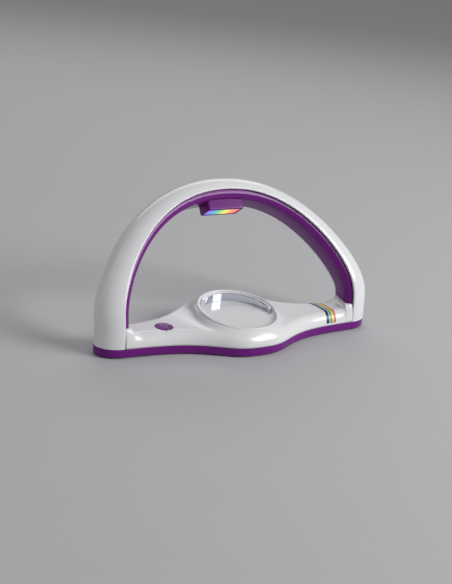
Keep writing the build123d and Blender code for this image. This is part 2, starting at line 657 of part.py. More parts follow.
    # Recesses for the feet
    with BuildSketch(Plane.XY.offset(FOOT_PROUD)):
        with Locations(FEET):
            Circle(FOOT_RADIUS + SNAP_CLEARANCE)
    extrude(amount=FOOT_THICKNESS - FOOT_PROUD, mode=Mode.SUBTRACT)
base_housing.part.label = "base_housing"
export_step(base_housing.part, "parts/base_housing.step")

# Rubber feet
with BuildPart() as rubber_feet:
    with BuildSketch():
        with Locations(FEET):
            Circle(FOOT_RADIUS)
    extrude(amount=FOOT_THICKNESS)
    fillet(rubber_feet.edges().group_by(Axis.Z)[0], FOOT_PROUD / 2)
rubber_feet.part.label = "rubber_feet"
export_step(rubber_feet.part, "parts/rubber_feet.step")

# Case screws, pan heads with a cross slot, from below
with BuildPart() as case_screws:
    with BuildSketch(Plane.XY.offset(HEAD_BOTTOM)):
        with Locations(screw_places()):
            Circle(SCREW_HEAD_RADIUS)
    extrude(amount=SCREW_HEAD_HEIGHT)
    fillet(case_screws.edges().group_by(Axis.Z)[0], SCREW_HEAD_HEIGHT / 3)
    with BuildSketch(Plane.XY.offset(SHANK_BOTTOM)):
        with Locations(screw_places()):
            Circle(SCREW_SHANK_RADIUS)
    extrude(amount=SCREW_LENGTH)
    with BuildSketch(Plane.XY.offset(HEAD_BOTTOM)):
        with Locations(screw_places()):
            Rectangle(SCREW_HEAD_RADIUS, SLOT_WIDTH)
            Rectangle(SLOT_WIDTH, SCREW_HEAD_RADIUS)
    extrude(amount=SCREW_HEAD_HEIGHT / 2, mode=Mode.SUBTRACT)
case_screws.part.label = "case_screws"
export_step(case_screws.part, "parts/case_screws.step")

# Battery door: a plate with a screw tab in front and two hinge tabs behind
with BuildPart() as battery_door:
    with BuildSketch(Plane.XY.offset(FOOT_PROUD)):
        with Locations((0, BAY_Y + (DOOR_CLEARANCE - DOOR_HINGE_GAP) / 2)):
            Rectangle(BAY_LENGTH - 2 * DOOR_CLEARANCE, BAY_WIDTH - DOOR_CLEARANCE - DOOR_HINGE_GAP)
    extrude(amount=DOOR_THICKNESS)
    with BuildSketch(Plane.XY.offset(FOOT_PROUD)):
        with Locations((0, BAY_FRONT - DOOR_TAB_LENGTH / 2 + 1)):
            Rectangle(DOOR_TAB_WIDTH, DOOR_TAB_LENGTH + 2)
    extrude(amount=DOOR_TAB_THICKNESS)
    with BuildSketch(Plane.XY.offset(FOOT_PROUD)):
        with Locations((0, TAB_SCREW_Y)):
            Circle(SCREW_HEAD_RADIUS + SNAP_CLEARANCE)
    extrude(amount=SCREW_HEAD_HEIGHT, mode=Mode.SUBTRACT)
    with BuildSketch(Plane.XY.offset(FOOT_PROUD)):
        with Locations((0, TAB_SCREW_Y)):
            Circle(SCREW_SHANK_RADIUS + SNAP_CLEARANCE)
    extrude(amount=2 * DOOR_TAB_THICKNESS, mode=Mode.SUBTRACT)
    with BuildSketch(Plane.XY.offset(FOOT_PROUD)):
        with GridLocations(HINGE_TAB_SPACING, 0, 2, 1):
            with Locations((0, (BAY_REAR - 2 + HINGE_Y) / 2)):
                Rectangle(HINGE_TAB_WIDTH, HINGE_Y - BAY_REAR + 2)
    extrude(amount=DOOR_THICKNESS)
    with BuildSketch(Plane.YZ.offset(-HINGE_PIN_LENGTH / 2)) as door_pins:
        with Locations((HINGE_Y, FOOT_PROUD + HINGE_Z)):
            Circle(HINGE_RADIUS)
    for x in (-HINGE_TAB_SPACING / 2, HINGE_TAB_SPACING / 2):
        pin = extrude(door_pins.sketch, amount=HINGE_PIN_LENGTH, mode=Mode.PRIVATE)
        add(Pos(x, 0, 0) * pin)
    # Grip ribs on the outside, near the screw tab
    with BuildSketch(Plane.XY.offset(FOOT_PROUD)):
        with Locations((0, BAY_FRONT + 9)):
            with GridLocations(0, GRIP_PITCH, 1, GRIP_COUNT):
                SlotOverall(GRIP_LENGTH, GRIP_WIDTH)
    extrude(amount=GRIP_DEPTH, mode=Mode.SUBTRACT)
battery_door.part.label = "battery_door"
export_step(battery_door.part, "parts/battery_door.step")

# Door screw, held in the door's tab
with BuildPart() as door_screw:
    with BuildSketch(Plane.XY.offset(FOOT_PROUD + SNAP_CLEARANCE)):
        with Locations((0, TAB_SCREW_Y)):
            Circle(SCREW_HEAD_RADIUS)
    extrude(amount=SCREW_HEAD_HEIGHT - SNAP_CLEARANCE)
    with BuildSketch(Plane.XY.offset(FOOT_PROUD + SCREW_HEAD_HEIGHT)):
        with Locations((0, TAB_SCREW_Y)):
            Circle(SCREW_SHANK_RADIUS)
    extrude(amount=DOOR_SCREW_TOP - FOOT_PROUD - SCREW_HEAD_HEIGHT)
    with BuildSketch(Plane.XY.offset(FOOT_PROUD)):
        with Locations((0, TAB_SCREW_Y)):
            Rectangle(1.6 * SCREW_HEAD_RADIUS, SLOT_WIDTH)
            Rectangle(SLOT_WIDTH, 1.6 * SCREW_HEAD_RADIUS)
    extrude(amount=SCREW_HEAD_HEIGHT / 2, mode=Mode.SUBTRACT)
door_screw.part.label = "door_screw"
export_step(door_screw.part, "parts/door_screw.step")

# Battery cells, side by side and turned end for end in turn
with BuildPart() as battery_cells:
    for index in range(CELL_COUNT):
        side = 1 if index % 2 == 0 else -1
        tip = side * (BAY_LENGTH / 2 - CONTACT_THICKNESS - CELL_CLEARANCE / 2)
        y = BAY_Y + (index - (CELL_COUNT - 1) / 2) * CELL_PITCH
        can = CELL_LENGTH - CELL_NUB_LENGTH
        with BuildSketch(Plane.YZ.offset(tip - side * CELL_LENGTH)):
            with Locations((y, CELL_Z)):
                Circle(CELL_RADIUS)
        extrude(amount=side * can)
        with BuildSketch(Plane.YZ.offset(tip - side * CELL_NUB_LENGTH)):
            with Locations((y, CELL_Z)):
                Circle(CELL_NUB_RADIUS)
        extrude(amount=side * CELL_NUB_LENGTH)
battery_cells.part.label = "battery_cells"
export_step(battery_cells.part, "parts/battery_cells.step")

# Flat contacts on the bay's end walls, one at each end of each cell
with BuildPart() as contact_plates:
    for side in (-1, 1):
        with BuildSketch(Plane.YZ.offset(side * BAY_LENGTH / 2)):
            with Locations((BAY_Y, CELL_Z)):
                with GridLocations(CELL_PITCH, 0, CELL_COUNT, 1):
                    Rectangle(CONTACT_WIDTH, CONTACT_HEIGHT)
        extrude(amount=-side * CONTACT_THICKNESS)
contact_plates.part.label = "contact_plates"
export_step(contact_plates.part, "parts/contact_plates.step")

# Bowed leaf springs that press on the flat end of each cell
with BuildPart() as contact_springs:
    for index in range(CELL_COUNT):
        side = -1 if index % 2 == 0 else 1
        root = side * (BAY_LENGTH / 2 - CONTACT_THICKNESS)
        y = BAY_Y + (index - (CELL_COUNT - 1) / 2) * CELL_PITCH
        reach = root - side * SPRING_REACH
        inner = reach + side * CONTACT_THICKNESS
        half = CONTACT_HEIGHT / 2
        thin = half - 1.5 * CONTACT_THICKNESS
        with BuildSketch(Plane.XZ.offset(-y - SPRING_WIDTH / 2)):
            with BuildLine():
                ThreePointArc((root, CELL_Z - half), (reach, CELL_Z), (root, CELL_Z + half))
                Line((root, CELL_Z + half), (root, CELL_Z + thin))
                ThreePointArc((root, CELL_Z + thin), (inner, CELL_Z), (root, CELL_Z - thin))
                Line((root, CELL_Z - thin), (root, CELL_Z - half))
            make_face()
        extrude(amount=SPRING_WIDTH)
contact_springs.part.label = "contact_springs"
export_step(contact_springs.part, "parts/contact_springs.step")

# Main board with its switch, chip and storage capacitor
with BuildPart() as main_board:
    with BuildSketch(Plane.XY.offset(BOARD_Z)):
        with Locations((BOARD_X, BOARD_Y)):
            RectangleRounded(BOARD_LENGTH, BOARD_WIDTH, 1.0)
    extrude(amount=BOARD_THICKNESS)
main_board.part.label = "main_board"
export_step(main_board.part, "parts/main_board.step")

with BuildPart() as control_chip:
    with BuildSketch(Plane.XY.offset(BOARD_TOP)):
        with Locations((BOARD_X + BOARD_LENGTH / 4, BOARD_Y + BOARD_WIDTH / 5)):
            Rectangle(CHIP_LENGTH, CHIP_WIDTH)
    extrude(amount=CHIP_HEIGHT)
    chamfer(control_chip.edges().group_by(Axis.Z)[-1], CHIP_HEIGHT / 6)
control_chip.part.label = "control_chip"
export_step(control_chip.part, "parts/control_chip.step")

with BuildPart() as storage_capacitor:
    with BuildSketch(Plane.XY.offset(BOARD_TOP)):
        with Locations((BOARD_X + 2 * CAPACITOR_RADIUS, BOARD_Y - 2 * CAPACITOR_RADIUS)):
            Circle(CAPACITOR_RADIUS)
    extrude(amount=CAPACITOR_HEIGHT)
    fillet(storage_capacitor.edges().group_by(Axis.Z)[-1], CAPACITOR_RADIUS / 6)
storage_capacitor.part.label = "storage_capacitor"
export_step(storage_capacitor.part, "parts/storage_capacitor.step")

with BuildPart() as switch_body:
    with BuildSketch(Plane.XY.offset(BOARD_TOP)):
        with Locations((BUTTON_X, BUTTON_Y)):
            Rectangle(SWITCH_SIDE, SWITCH_SIDE)
    extrude(amount=SWITCH_HEIGHT)
    with BuildSketch(Plane.XY.offset(PLUNGER_BOTTOM - BUTTON_TRAVEL - BUTTON_CLEARANCE)):
        with Locations((BUTTON_X, BUTTON_Y)):
            Circle(PLUNGER_RADIUS + PLUNGER_CLEARANCE)
    extrude(amount=SWITCH_HEIGHT, mode=Mode.SUBTRACT)
switch_body.part.label = "switch_body"
export_step(switch_body.part, "parts/switch_body.step")

with BuildPart() as switch_plunger:
    with BuildSketch(Plane.XY.offset(PLUNGER_BOTTOM)):
        with Locations((BUTTON_X, BUTTON_Y)):
            Circle(PLUNGER_RADIUS)
    extrude(amount=PLUNGER_TOP - PLUNGER_BOTTOM)
switch_plunger.part.label = "switch_plunger"
export_step(switch_plunger.part, "parts/switch_plunger.step")

# Power button: a cap with a retaining flange and a stem onto the switch
with BuildPart() as power_button:
    with BuildSketch(Plane.XY.offset(BUTTON_BOTTOM)):
        with Locations((BUTTON_X, BUTTON_Y)):
            Circle(BUTTON_RADIUS + BUTTON_FLANGE_OVERLAP)
    extrude(amount=BUTTON_FLANGE)
    with BuildSketch(Plane.XY.offset(BUTTON_BOTTOM)):
        with Locations((BUTTON_X, BUTTON_Y)):
            Circle(BUTTON_RADIUS)
    extrude(amount=BUTTON_TOP - BUTTON_BOTTOM)
    fillet(power_button.edges().group_by(Axis.Z)[-1], BUTTON_PROUD)
    with BuildSketch(Plane.XY.offset(PLUNGER_TOP)):
        with Locations((BUTTON_X, BUTTON_Y)):
            Circle(BUTTON_STEM_RADIUS)
    extrude(amount=BUTTON_BOTTOM - PLUNGER_TOP)
power_button.part.label = "power_button"
export_step(power_button.part, "parts/power_button.step")

# Curved mirror at the back of the dish, and the carrier that holds it
with BuildPart() as mirror_strip:
    with BuildSketch(Plane.XY.offset(DISH_FLOOR_Z + SNAP_CLEARANCE)):
        with BuildLine():
            CenterArc((0, RING_Y), MIRROR_RADIUS, MIRROR_START, MIRROR_SWEEP)
        trace(line_width=MIRROR_THICKNESS)
    extrude(amount=FLANK_DEPTH)
    with BuildSketch(RING_PLANE.offset(-MIRROR_TOP_DROP)):
        Circle(2 * DISH_RADIUS)
    extrude(amount=2 * FLANK_DEPTH, mode=Mode.SUBTRACT)
mirror_strip.part.label = "mirror_strip"
export_step(mirror_strip.part, "parts/mirror_strip.step")

with BuildPart() as mirror_carrier:
    with BuildSketch(Plane.XY.offset(DISH_FLOOR_Z)):
        with BuildLine():
            CenterArc(
                (0, RING_Y), CARRIER_RADIUS, MIRROR_START - END_TURN, MIRROR_SWEEP + 2 * END_TURN
            )
        trace(line_width=CARRIER_THICKNESS)
        for start in (MIRROR_START - END_TURN, MIRROR_START + MIRROR_SWEEP + END_GAP_TURN):
            with BuildLine():
                CenterArc((0, RING_Y), MIRROR_RADIUS, start, END_TURN - END_GAP_TURN)
            trace(line_width=MIRROR_THICKNESS + 2 * SNAP_CLEARANCE)
    extrude(amount=FLANK_DEPTH)
    with BuildSketch(RING_PLANE.offset(-MIRROR_TOP_DROP + CARRIER_LIP / 2)):
        Circle(2 * DISH_RADIUS)
    extrude(amount=2 * FLANK_DEPTH, mode=Mode.SUBTRACT)
mirror_carrier.part.label = "mirror_carrier"
export_step(mirror_carrier.part, "parts/mirror_carrier.step")

# Lamp housing: a box through the liner, with a flange above it and a lens below
with BuildPart() as lamp_housing:
    with BuildSketch(LAMP_PLANE.offset(LAMP_BOTTOM)):
        RectangleRounded(LAMP_WIDTH, LAMP_DEPTH, LAMP_CORNER)
    extrude(amount=FLANGE_TOP - LAMP_BOTTOM)
    fillet(lamp_housing.faces().sort_by(Axis(LAMP_PLANE.origin, LAMP_PLANE.z_dir))[0].edges(), LAMP_EASE)
    with BuildSketch(LAMP_PLANE.offset(FLANGE_BOTTOM)):
        RectangleRounded(LAMP_WIDTH + 2 * LAMP_FLANGE, LAMP_DEPTH + 2 * LAMP_FLANGE, LAMP_CORNER)
    extrude(amount=LAMP_FLANGE_THICKNESS)
    with BuildSketch(LAMP_PLANE.offset(LAMP_BOTTOM)):
        RectangleRounded(LENS_LENGTH + 2 * SNAP_CLEARANCE, LENS_DEPTH + 2 * SNAP_CLEARANCE, 1.0)
    extrude(amount=LENS_RECESS + LENS_THICKNESS + SNAP_CLEARANCE, mode=Mode.SUBTRACT)
    with BuildSketch(LAMP_PLANE.offset(LAMP_BOTTOM)):
        Rectangle(LENS_LENGTH - 2 * LENS_LEDGE, LENS_DEPTH - 2 * LENS_LEDGE)
    extrude(amount=FLANGE_TOP - LAMP_BOTTOM, mode=Mode.SUBTRACT)
lamp_housing.part.label = "lamp_housing"
export_step(lamp_housing.part, "parts/lamp_housing.step")

with BuildPart() as lamp_lens:
    with BuildSketch(LAMP_PLANE.offset(LAMP_BOTTOM + LENS_RECESS)):
        RectangleRounded(LENS_LENGTH, LENS_DEPTH, 1.0)
    extrude(amount=LENS_THICKNESS)
    # Fine ribs on the inner side, which spread the light
    with BuildSketch(LAMP_PLANE.offset(LAMP_BOTTOM + LENS_RECESS + LENS_THICKNESS)):
        with GridLocations(LED_PITCH / 2, 0, 2 * LED_COUNT - 1, 1):
            Rectangle(LED_PITCH / 8, LENS_DEPTH - 3 * LENS_LEDGE)
    extrude(amount=-LENS_THICKNESS / 4, mode=Mode.SUBTRACT)
lamp_lens.part.label = "lamp_lens"
export_step(lamp_lens.part, "parts/lamp_lens.step")

with BuildPart() as lamp_board:
    with BuildSketch(LAMP_PLANE.offset(FLANGE_TOP)):
        RectangleRounded(LAMP_WIDTH, LAMP_DEPTH, 1.0)
    extrude(amount=LAMP_BOARD_THICKNESS)
lamp_board.part.label = "lamp_board"
export_step(lamp_board.part, "parts/lamp_board.step")

with BuildPart() as lamp_leds:
    with BuildSketch(LAMP_PLANE.offset(FLANGE_TOP)):
        with GridLocations(LED_PITCH, 0, LED_COUNT, 1):
            Rectangle(LED_LENGTH, LED_WIDTH)
    extrude(amount=-LED_HEIGHT)
lamp_leds.part.label = "lamp_leds"
export_step(lamp_leds.part, "parts/lamp_leds.step")

# Baffle: one window per light, so the colours leave side by side
with BuildPart() as lamp_baffle:
    with BuildSketch(LAMP_PLANE.offset(BAFFLE_BOTTOM)):
        Rectangle(LENS_LENGTH - 2 * LENS_LEDGE - 2 * BAFFLE_GAP, BAFFLE_DEPTH)
        with GridLocations(LED_PITCH, 0, LED_COUNT, 1):
            Rectangle(LED_PITCH - BAFFLE_WALL, BAFFLE_DEPTH - 2 * BAFFLE_WALL, mode=Mode.SUBTRACT)
    extrude(amount=FLANGE_TOP - LED_HEIGHT - BAFFLE_GAP - BAFFLE_BOTTOM)
lamp_baffle.part.label = "lamp_baffle"
export_step(lamp_baffle.part, "parts/lamp_baffle.step")


def lead(points):
    """Tube along a route of straight runs joined by arcs as large as they allow."""
    runs = [b - a for a, b in zip(points, points[1:])]
    radii = []
    for before, after in zip(runs, runs[1:]):
        turn = radians(before.get_angle(after))
        radii.append(0.45 * min(before.length, after.length) / tan(turn / 2))
    print("lead bends", [round(radius, 1) for radius in radii])
    with BuildPart() as tube:
        with BuildLine() as route:
            FilletPolyline(*points, radius=radii)
        with BuildSketch(Plane(origin=points[0], z_dir=runs[0])):
            Circle(LEAD_RADIUS)
        sweep(path=route.wires()[0])
    length = route.wires()[0].length
    print("lead length", round(length, 1), tube.part.volume / (pi * LEAD_RADIUS ** 2 * length))
    return tube.part


def arch_point(angle, out, depth):
    """A point of the left half of the arch, out from the rim and to its back."""
    x, v, out_x, out_v = rim(angle)
    return leaned(x + out * out_x, depth, v + out * out_v)


# Lamp lead: from the main board, up the left leg and along the arch to the lamp
with BuildPart() as lamp_lead:
    add(
        lead(
            [
                Vector(BOARD_X - BOARD_LENGTH / 2 + 5, BOARD_Y + 4, BOARD_TOP + LEAD_RADIUS),
                Vector(BOARD_X - 24.0, FOOT_LINE_Y + 7.6, BOARD_TOP + 1.6),
                Vector(2.3 - RIM_HALF, FOOT_LINE_Y + 8.3, 9.3),
                Vector(-RIM_HALF - LEAD_OFFSET, FOOT_LINE_Y + 8.6, 20.5),
                arch_point(170, LEAD_OFFSET, 3.0),
                arch_point(154, LEAD_OFFSET, 0.5),
                arch_point(138, LEAD_OFFSET - 0.5, 0.0),
                arch_point(122, LEAD_OFFSET - 1.0, -0.5),
                arch_point(108, LEAD_OFFSET - 1.5, 0.0),
                LAMP_PLANE.from_local_coords((-17.0, 1.0, 3.5)),
                LAMP_PLANE.from_local_coords((-7.0, 0.0, FLANGE_TOP + LAMP_BOARD_THICKNESS + LEAD_RADIUS)),
            ]
        )
    )
lamp_lead.part.label = "lamp_lead"
export_step(lamp_lead.part, "parts/lamp_lead.step")

# Battery lead: from the bay's front corner to the main board
with BuildPart() as battery_lead:
    add(
        lead(
            [
                Vector(-BAY_LENGTH / 2 - BAY_WALL - 0.1, FOOT_LINE_Y - 8.0, 9.0),
                Vector(-BAY_LENGTH / 2 - 9.0, FOOT_LINE_Y - 7.4, 9.3),
                Vector(BOARD_X + BOARD_LENGTH / 2 + 5.5, FOOT_LINE_Y - 5.0, 8.6),
                Vector(BOARD_X + BOARD_LENGTH / 2 - 4.0, FOOT_LINE_Y - 2.0, BOARD_TOP + LEAD_RADIUS),
            ]
        )
    )
battery_lead.part.label = "battery_lead"
export_step(battery_lead.part, "parts/battery_lead.step")
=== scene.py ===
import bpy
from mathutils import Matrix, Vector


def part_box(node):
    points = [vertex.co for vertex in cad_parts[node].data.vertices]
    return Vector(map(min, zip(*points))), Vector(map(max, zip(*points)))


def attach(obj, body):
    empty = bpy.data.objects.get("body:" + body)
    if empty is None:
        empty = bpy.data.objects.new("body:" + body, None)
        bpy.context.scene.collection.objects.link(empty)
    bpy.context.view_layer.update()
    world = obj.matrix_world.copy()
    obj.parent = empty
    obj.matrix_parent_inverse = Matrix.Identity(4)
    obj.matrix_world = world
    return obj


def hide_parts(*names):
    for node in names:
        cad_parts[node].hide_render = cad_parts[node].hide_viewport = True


bl_info = {
    "name": "Arched projector night light",
    "version": (1, 0, 0),
    "blender": (4, 5, 0),
    "location": "3D View > Sidebar > Night Light",
    "description": "Dresses the night light with smooth shells, a mirror dish, print and finishes",
    "category": "Object",
}

from math import acos, copysign, cos, degrees, hypot, pi, radians, sin, sqrt, tan

import bmesh
import bpy
import numpy as np
from bpy.props import FloatProperty, FloatVectorProperty, PointerProperty
from mathutils import Matrix, Vector

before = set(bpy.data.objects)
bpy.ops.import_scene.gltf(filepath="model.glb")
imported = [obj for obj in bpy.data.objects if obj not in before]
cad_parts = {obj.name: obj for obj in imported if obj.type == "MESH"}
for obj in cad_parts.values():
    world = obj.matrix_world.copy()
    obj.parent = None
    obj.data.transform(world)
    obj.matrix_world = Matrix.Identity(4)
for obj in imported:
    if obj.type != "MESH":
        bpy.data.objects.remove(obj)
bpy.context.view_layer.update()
BAND_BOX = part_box("base_housing")
LENS_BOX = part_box("lamp_lens")

# Values that several steps need or that a user wouldn't change. Lengths are in metres.
LEG_PITCH = 0.012  # spacing of the rim's stations down a straight leg
RIM_ANGLES = (14, 23, 31, 40, 49, 58, 68, 79)  # stations of the rim's curve, in degrees
RIM_POWERS = (0.93, 1.4)  # how far the rim's curve departs from an ellipse, across and up
SHELL_EASE = 0.0006  # rounding of the shell's rim
DRAFT_POWER = 8  # how late the liner's draft fades towards the crown
LINER_WALL = 0.0018
LINER_DEPTH = 0.006  # reach of the liner's walls into the shell
LINER_EASE = 0.0003  # rounding of the liner's hidden edges
LINER_BACK = 0.0066  # most that the liner's back corner may be rounded
BELL_POWER = 2.95  # how squarely the base's bulges end
FRONT_BELL, REAR_BELL = 0.0387, 0.042  # half widths of the bulges
SECTION_EDGE = 0.12  # share of a cover section that each rounded edge takes
FLARE_EDGE = 0.0045  # width of the cover's edge at the legs
FLARE_STEPS = (0.02, 0.06, 0.13, 0.22, 0.34, 0.48, 0.64, 0.82, 1.0)  # spacing under the liner
LEAN_START, LEAN_END = 0.080, 0.096  # where the cover takes up the legs' lean
DOME_REACH = 0.062  # radius beyond which the cover is level
DOME_BLEND = 0.0035  # softness of the line between the dome and the level top
FLANK_KNOTS = np.array([0.0310, 0.0336, 0.0364, 0.0402, 0.0452, 0.0520, 0.0600])  # radius
FLANK_DROPS = np.array([0.0, -0.0013, -0.0038, -0.0059, -0.0072, -0.0081, -0.0088])  # fall
BUTTON_GAP = 0.00035
BUTTON_SHIFT = -0.001  # place of the button, from the foot line
DISH_HOLE = 0.0306  # radius of the cover's hole under the bead
UPPER_FACE = 0.012  # everything of the cover above this height is its upper face
MERGE = 1e-6  # points nearer than this are one


def length(**words):
    """A property for a length, shown to a tenth of a millimetre."""
    return FloatProperty(unit="LENGTH", precision=4, **words)


class ArchSettings(bpy.types.PropertyGroup):
    """Sizes of the leaning arch and of the liner inside it."""

    span: length(name="Span", description="Length over both legs", default=0.240)
    leg_crown: length(name="Leg crown", description="Bulge of a leg beyond the rim", default=0.0182)
    top_crown: length(
        name="Top crown", description="Bulge of the arch's top beyond the rim", default=0.0127
    )
    leg_half: length(
        name="Leg half depth", description="Half of a leg's front to back size", default=0.0134
    )
    top_half: length(
        name="Top half depth", description="Half of the top's front to back size", default=0.0147
    )
    rise: length(
        name="Rim rise", description="Rise of the rim above the straight legs", default=0.0845
    )
    start: length(
        name="Rim start", description="Height where the straight legs end", default=0.0321
    )
    lean: FloatProperty(
        name="Lean", description="How far the arch leans back",
        default=radians(36), subtype="ANGLE",
    )
    lean_blend: length(
        name="Lean blend", description="Length over which a leg bends back", default=0.017
    )
    wall: length(name="Wall", description="Thickness of the white shell", default=0.002)
    liner_proud: length(
        name="Liner proud", description="How far the liner stands into the opening", default=0.0062
    )
    liner_corner: length(
        name="Liner corner", description="Rounding of the liner's long edges", default=0.0045
    )
    liner_gap: length(
        name="Liner gap", description="Dark gap between the shell's rim and the liner",
        default=0.0005,
    )
    liner_end: length(
        name="Liner end", description="Height of the liner's lower ends", default=0.0221
    )
    liner_draft: length(
        name="Liner draft", description="How much less proud the liner's back edge is",
        default=0.005,
    )


class BaseSettings(bpy.types.PropertyGroup):
    """Sizes of the low base, its band and its button."""

    foot_line: length(
        name="Foot line", description="Place of the legs' middle, front to back", default=-0.01416
    )
    band_top: length(
        name="Band top", description="Height of the seam over the coloured band", default=0.0072
    )
    top: length(name="Cover top", description="Height of the cover's level top", default=0.0172)
    front: length(
        name="Front bulge", description="Reach of the base in front of the foot line",
        default=0.0359,
    )
    rear: length(
        name="Rear bulge", description="Reach of the base behind the foot line", default=0.0485
    )
    edge: length(
        name="Edge rounding", description="Width of the cover's rounded edge", default=0.008
    )
    flare: length(
        name="Flare", description="Length over which the cover rises to the liner's end",
        default=0.0085,
    )
    seam: length(
        name="Seam", description="Width of the dark seams between the mouldings", default=0.0003
    )
    button_x: length(
        name="Button place", description="Place of the button along the base", default=-0.066
    )
    button_radius: length(
        name="Button radius", description="Radius of the button's cap", default=0.0065
    )
    button_top: length(name="Button top", description="Height of the button's cap", default=0.0177)


class DishSettings(bpy.types.PropertyGroup):
    """Sizes of the round dish and its curved mirror."""

    radius: length(name="Ring radius", description="Radius of the ring's crest", default=0.031)
    height: length(name="Ring height", description="Height of the ring's middle", default=0.0228)
    tilt: FloatProperty(
        name="Ring tilt", description="Rise of the ring towards the back",
        default=radians(6.3), subtype="ANGLE",
    )
    floor: length(name="Dish floor", description="Height of the dish's floor", default=0.0183)
    bead: length(name="Bead", description="Radius of the bead on the ring", default=0.001)
    offset: length(
        name="Ring offset", description="Distance of the ring's middle behind the foot line",
        default=0.003,
    )
    mirror_start: FloatProperty(
        name="Mirror start", description="Where the mirror's right end is",
        default=radians(-2), subtype="ANGLE",
    )
    mirror_sweep: FloatProperty(
        name="Mirror sweep", description="Angle that the mirror spans",
        default=radians(134), subtype="ANGLE",
    )


class FinishSettings(bpy.types.PropertyGroup):
    """Colours of the mouldings, the print and the lights."""

    white: FloatVectorProperty(
        name="White", description="Colour of the shell and cover",
        subtype="COLOR", size=3, default=(0.80, 0.80, 0.815), min=0, max=1,
    )
    purple: FloatVectorProperty(
        name="Purple", description="Colour of the liner, band and button",
        subtype="COLOR", size=3, default=(0.160, 0.008, 0.205), min=0, max=1,
    )
    symbol: FloatVectorProperty(
        name="Symbol", description="Colour of the sign on the button",
        subtype="COLOR", size=3, default=(0.38, 0.24, 0.48), min=0, max=1,
    )
    glow: FloatProperty(
        name="Glow", description="Strength of the lit lens", default=1.1, min=0
    )


class StageSettings(bpy.types.PropertyGroup):
    """Floor, lights and camera."""

    floor: FloatVectorProperty(
        name="Floor", description="Colour of the floor",
        subtype="COLOR", size=3, default=(0.50, 0.50, 0.515), min=0, max=1,
    )
    key: FloatProperty(
        name="Key light", description="Power of the large front lamp", default=17.5, unit="POWER"
    )
    fill: FloatProperty(
        name="Fill light", description="Power of the left lamp", default=1.2, unit="POWER"
    )
    rim: FloatProperty(
        name="Back light", description="Power of the lamp behind", default=4.5, unit="POWER"
    )
    sky: FloatProperty(name="Sky", description="Strength of the even light", default=0.32, min=0)


class NightLightSettings(bpy.types.PropertyGroup):
    """All settings of the night light."""

    arch: PointerProperty(type=ArchSettings, name="Arch", description="Arch and liner")
    base: PointerProperty(type=BaseSettings, name="Base", description="Base and button")
    dish: PointerProperty(type=DishSettings, name="Dish", description="Dish and mirror")
    finish: PointerProperty(type=FinishSettings, name="Finish", description="Colours")
    stage: PointerProperty(type=StageSettings, name="Stage", description="Floor and lights")


# Shared mesh work


def skin(bm, rows, uv_map=None):
    """A sheet over rows of points, which closes where its first and last rows or columns meet."""
    across, along = len(rows) - 1, len(rows[0]) - 1
    layer = bm.loops.layers.uv.new(uv_map) if uv_map else None
    made = bmesh.ops.create_grid(bm, x_segments=across, y_segments=along, size=1.0)
    if layer:
        for corner in (corner for face in bm.faces for corner in face.loops):
            corner[layer].uv = (corner.vert.co.xy + Vector((1, 1))) / 2
    for vert in made["verts"]:
        row = round((vert.co.x + 1) / 2 * across)
        column = round((vert.co.y + 1) / 2 * along)
        vert.co = rows[row][column]
    bmesh.ops.remove_doubles(bm, verts=made["verts"], dist=MERGE)


def turned(bm, profile, place, steps):
    """A solid of revolution from points given by their radius and height."""
    verts = [bm.verts.new((out, 0.0, z)) for out, z in profile]
    edges = [bm.edges.new(pair) for pair in zip(verts, verts[1:])]
    bmesh.ops.spin(
        bm, geom=verts + edges, cent=(0, 0, 0), axis=(0, 0, 1),
        angle=2 * pi, steps=steps, use_merge=True,
    )
    bmesh.ops.remove_doubles(bm, verts=bm.verts, dist=MERGE)
    bmesh.ops.translate(bm, vec=place, verts=bm.verts)


def close_holes(bm):
    """Caps every open edge loop."""
    edges = [edge for edge in bm.edges if edge.is_boundary]
    if edges:
        bmesh.ops.triangle_fill(bm, edges=edges, use_beauty=True)


def round_place(turn, out, middle, z):
    """A point of the dish by its angle and distance from the ring's middle."""
    return Vector((out * cos(turn), middle + out * sin(turn), z))


def cut_level(bm, height):
    """Cuts everything below a height away and caps the cut."""
    geometry = bm.verts[:] + bm.edges[:] + bm.faces[:]
    bmesh.ops.bisect_plane(
        bm, geom=geometry, dist=1e-7, clear_inner=True,
        plane_co=(0, 0, height), plane_no=(0, 0, 1),
    )
    close_holes(bm)


def make_piece(bm, name, body, material, sharp=35.0, stands_for=()):
    """Turns a bmesh into a finished piece that rides on a body."""
    bmesh.ops.recalc_face_normals(bm, faces=bm.faces)
    for face in bm.faces:
        face.smooth = True
    for edge in bm.edges:
        if len(edge.link_faces) == 2 and edge.calc_face_angle(0.0) > radians(sharp):
            edge.smooth = False
    mesh = bpy.data.meshes.new(name)
    bm.to_mesh(mesh)
    bm.free()
    mesh.materials.append(material)
    piece = bpy.data.objects.new(name, mesh)
    bpy.context.scene.collection.objects.link(piece)
    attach(piece, body)
    if stands_for:
        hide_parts(*stands_for)
    return piece


def give_wall(piece, thickness):
    """Gives an open sheet a wall that grows inwards from it."""
    wall = piece.modifiers.new("Wall", "SOLIDIFY")
    wall.thickness = thickness
    wall.offset = -1.0


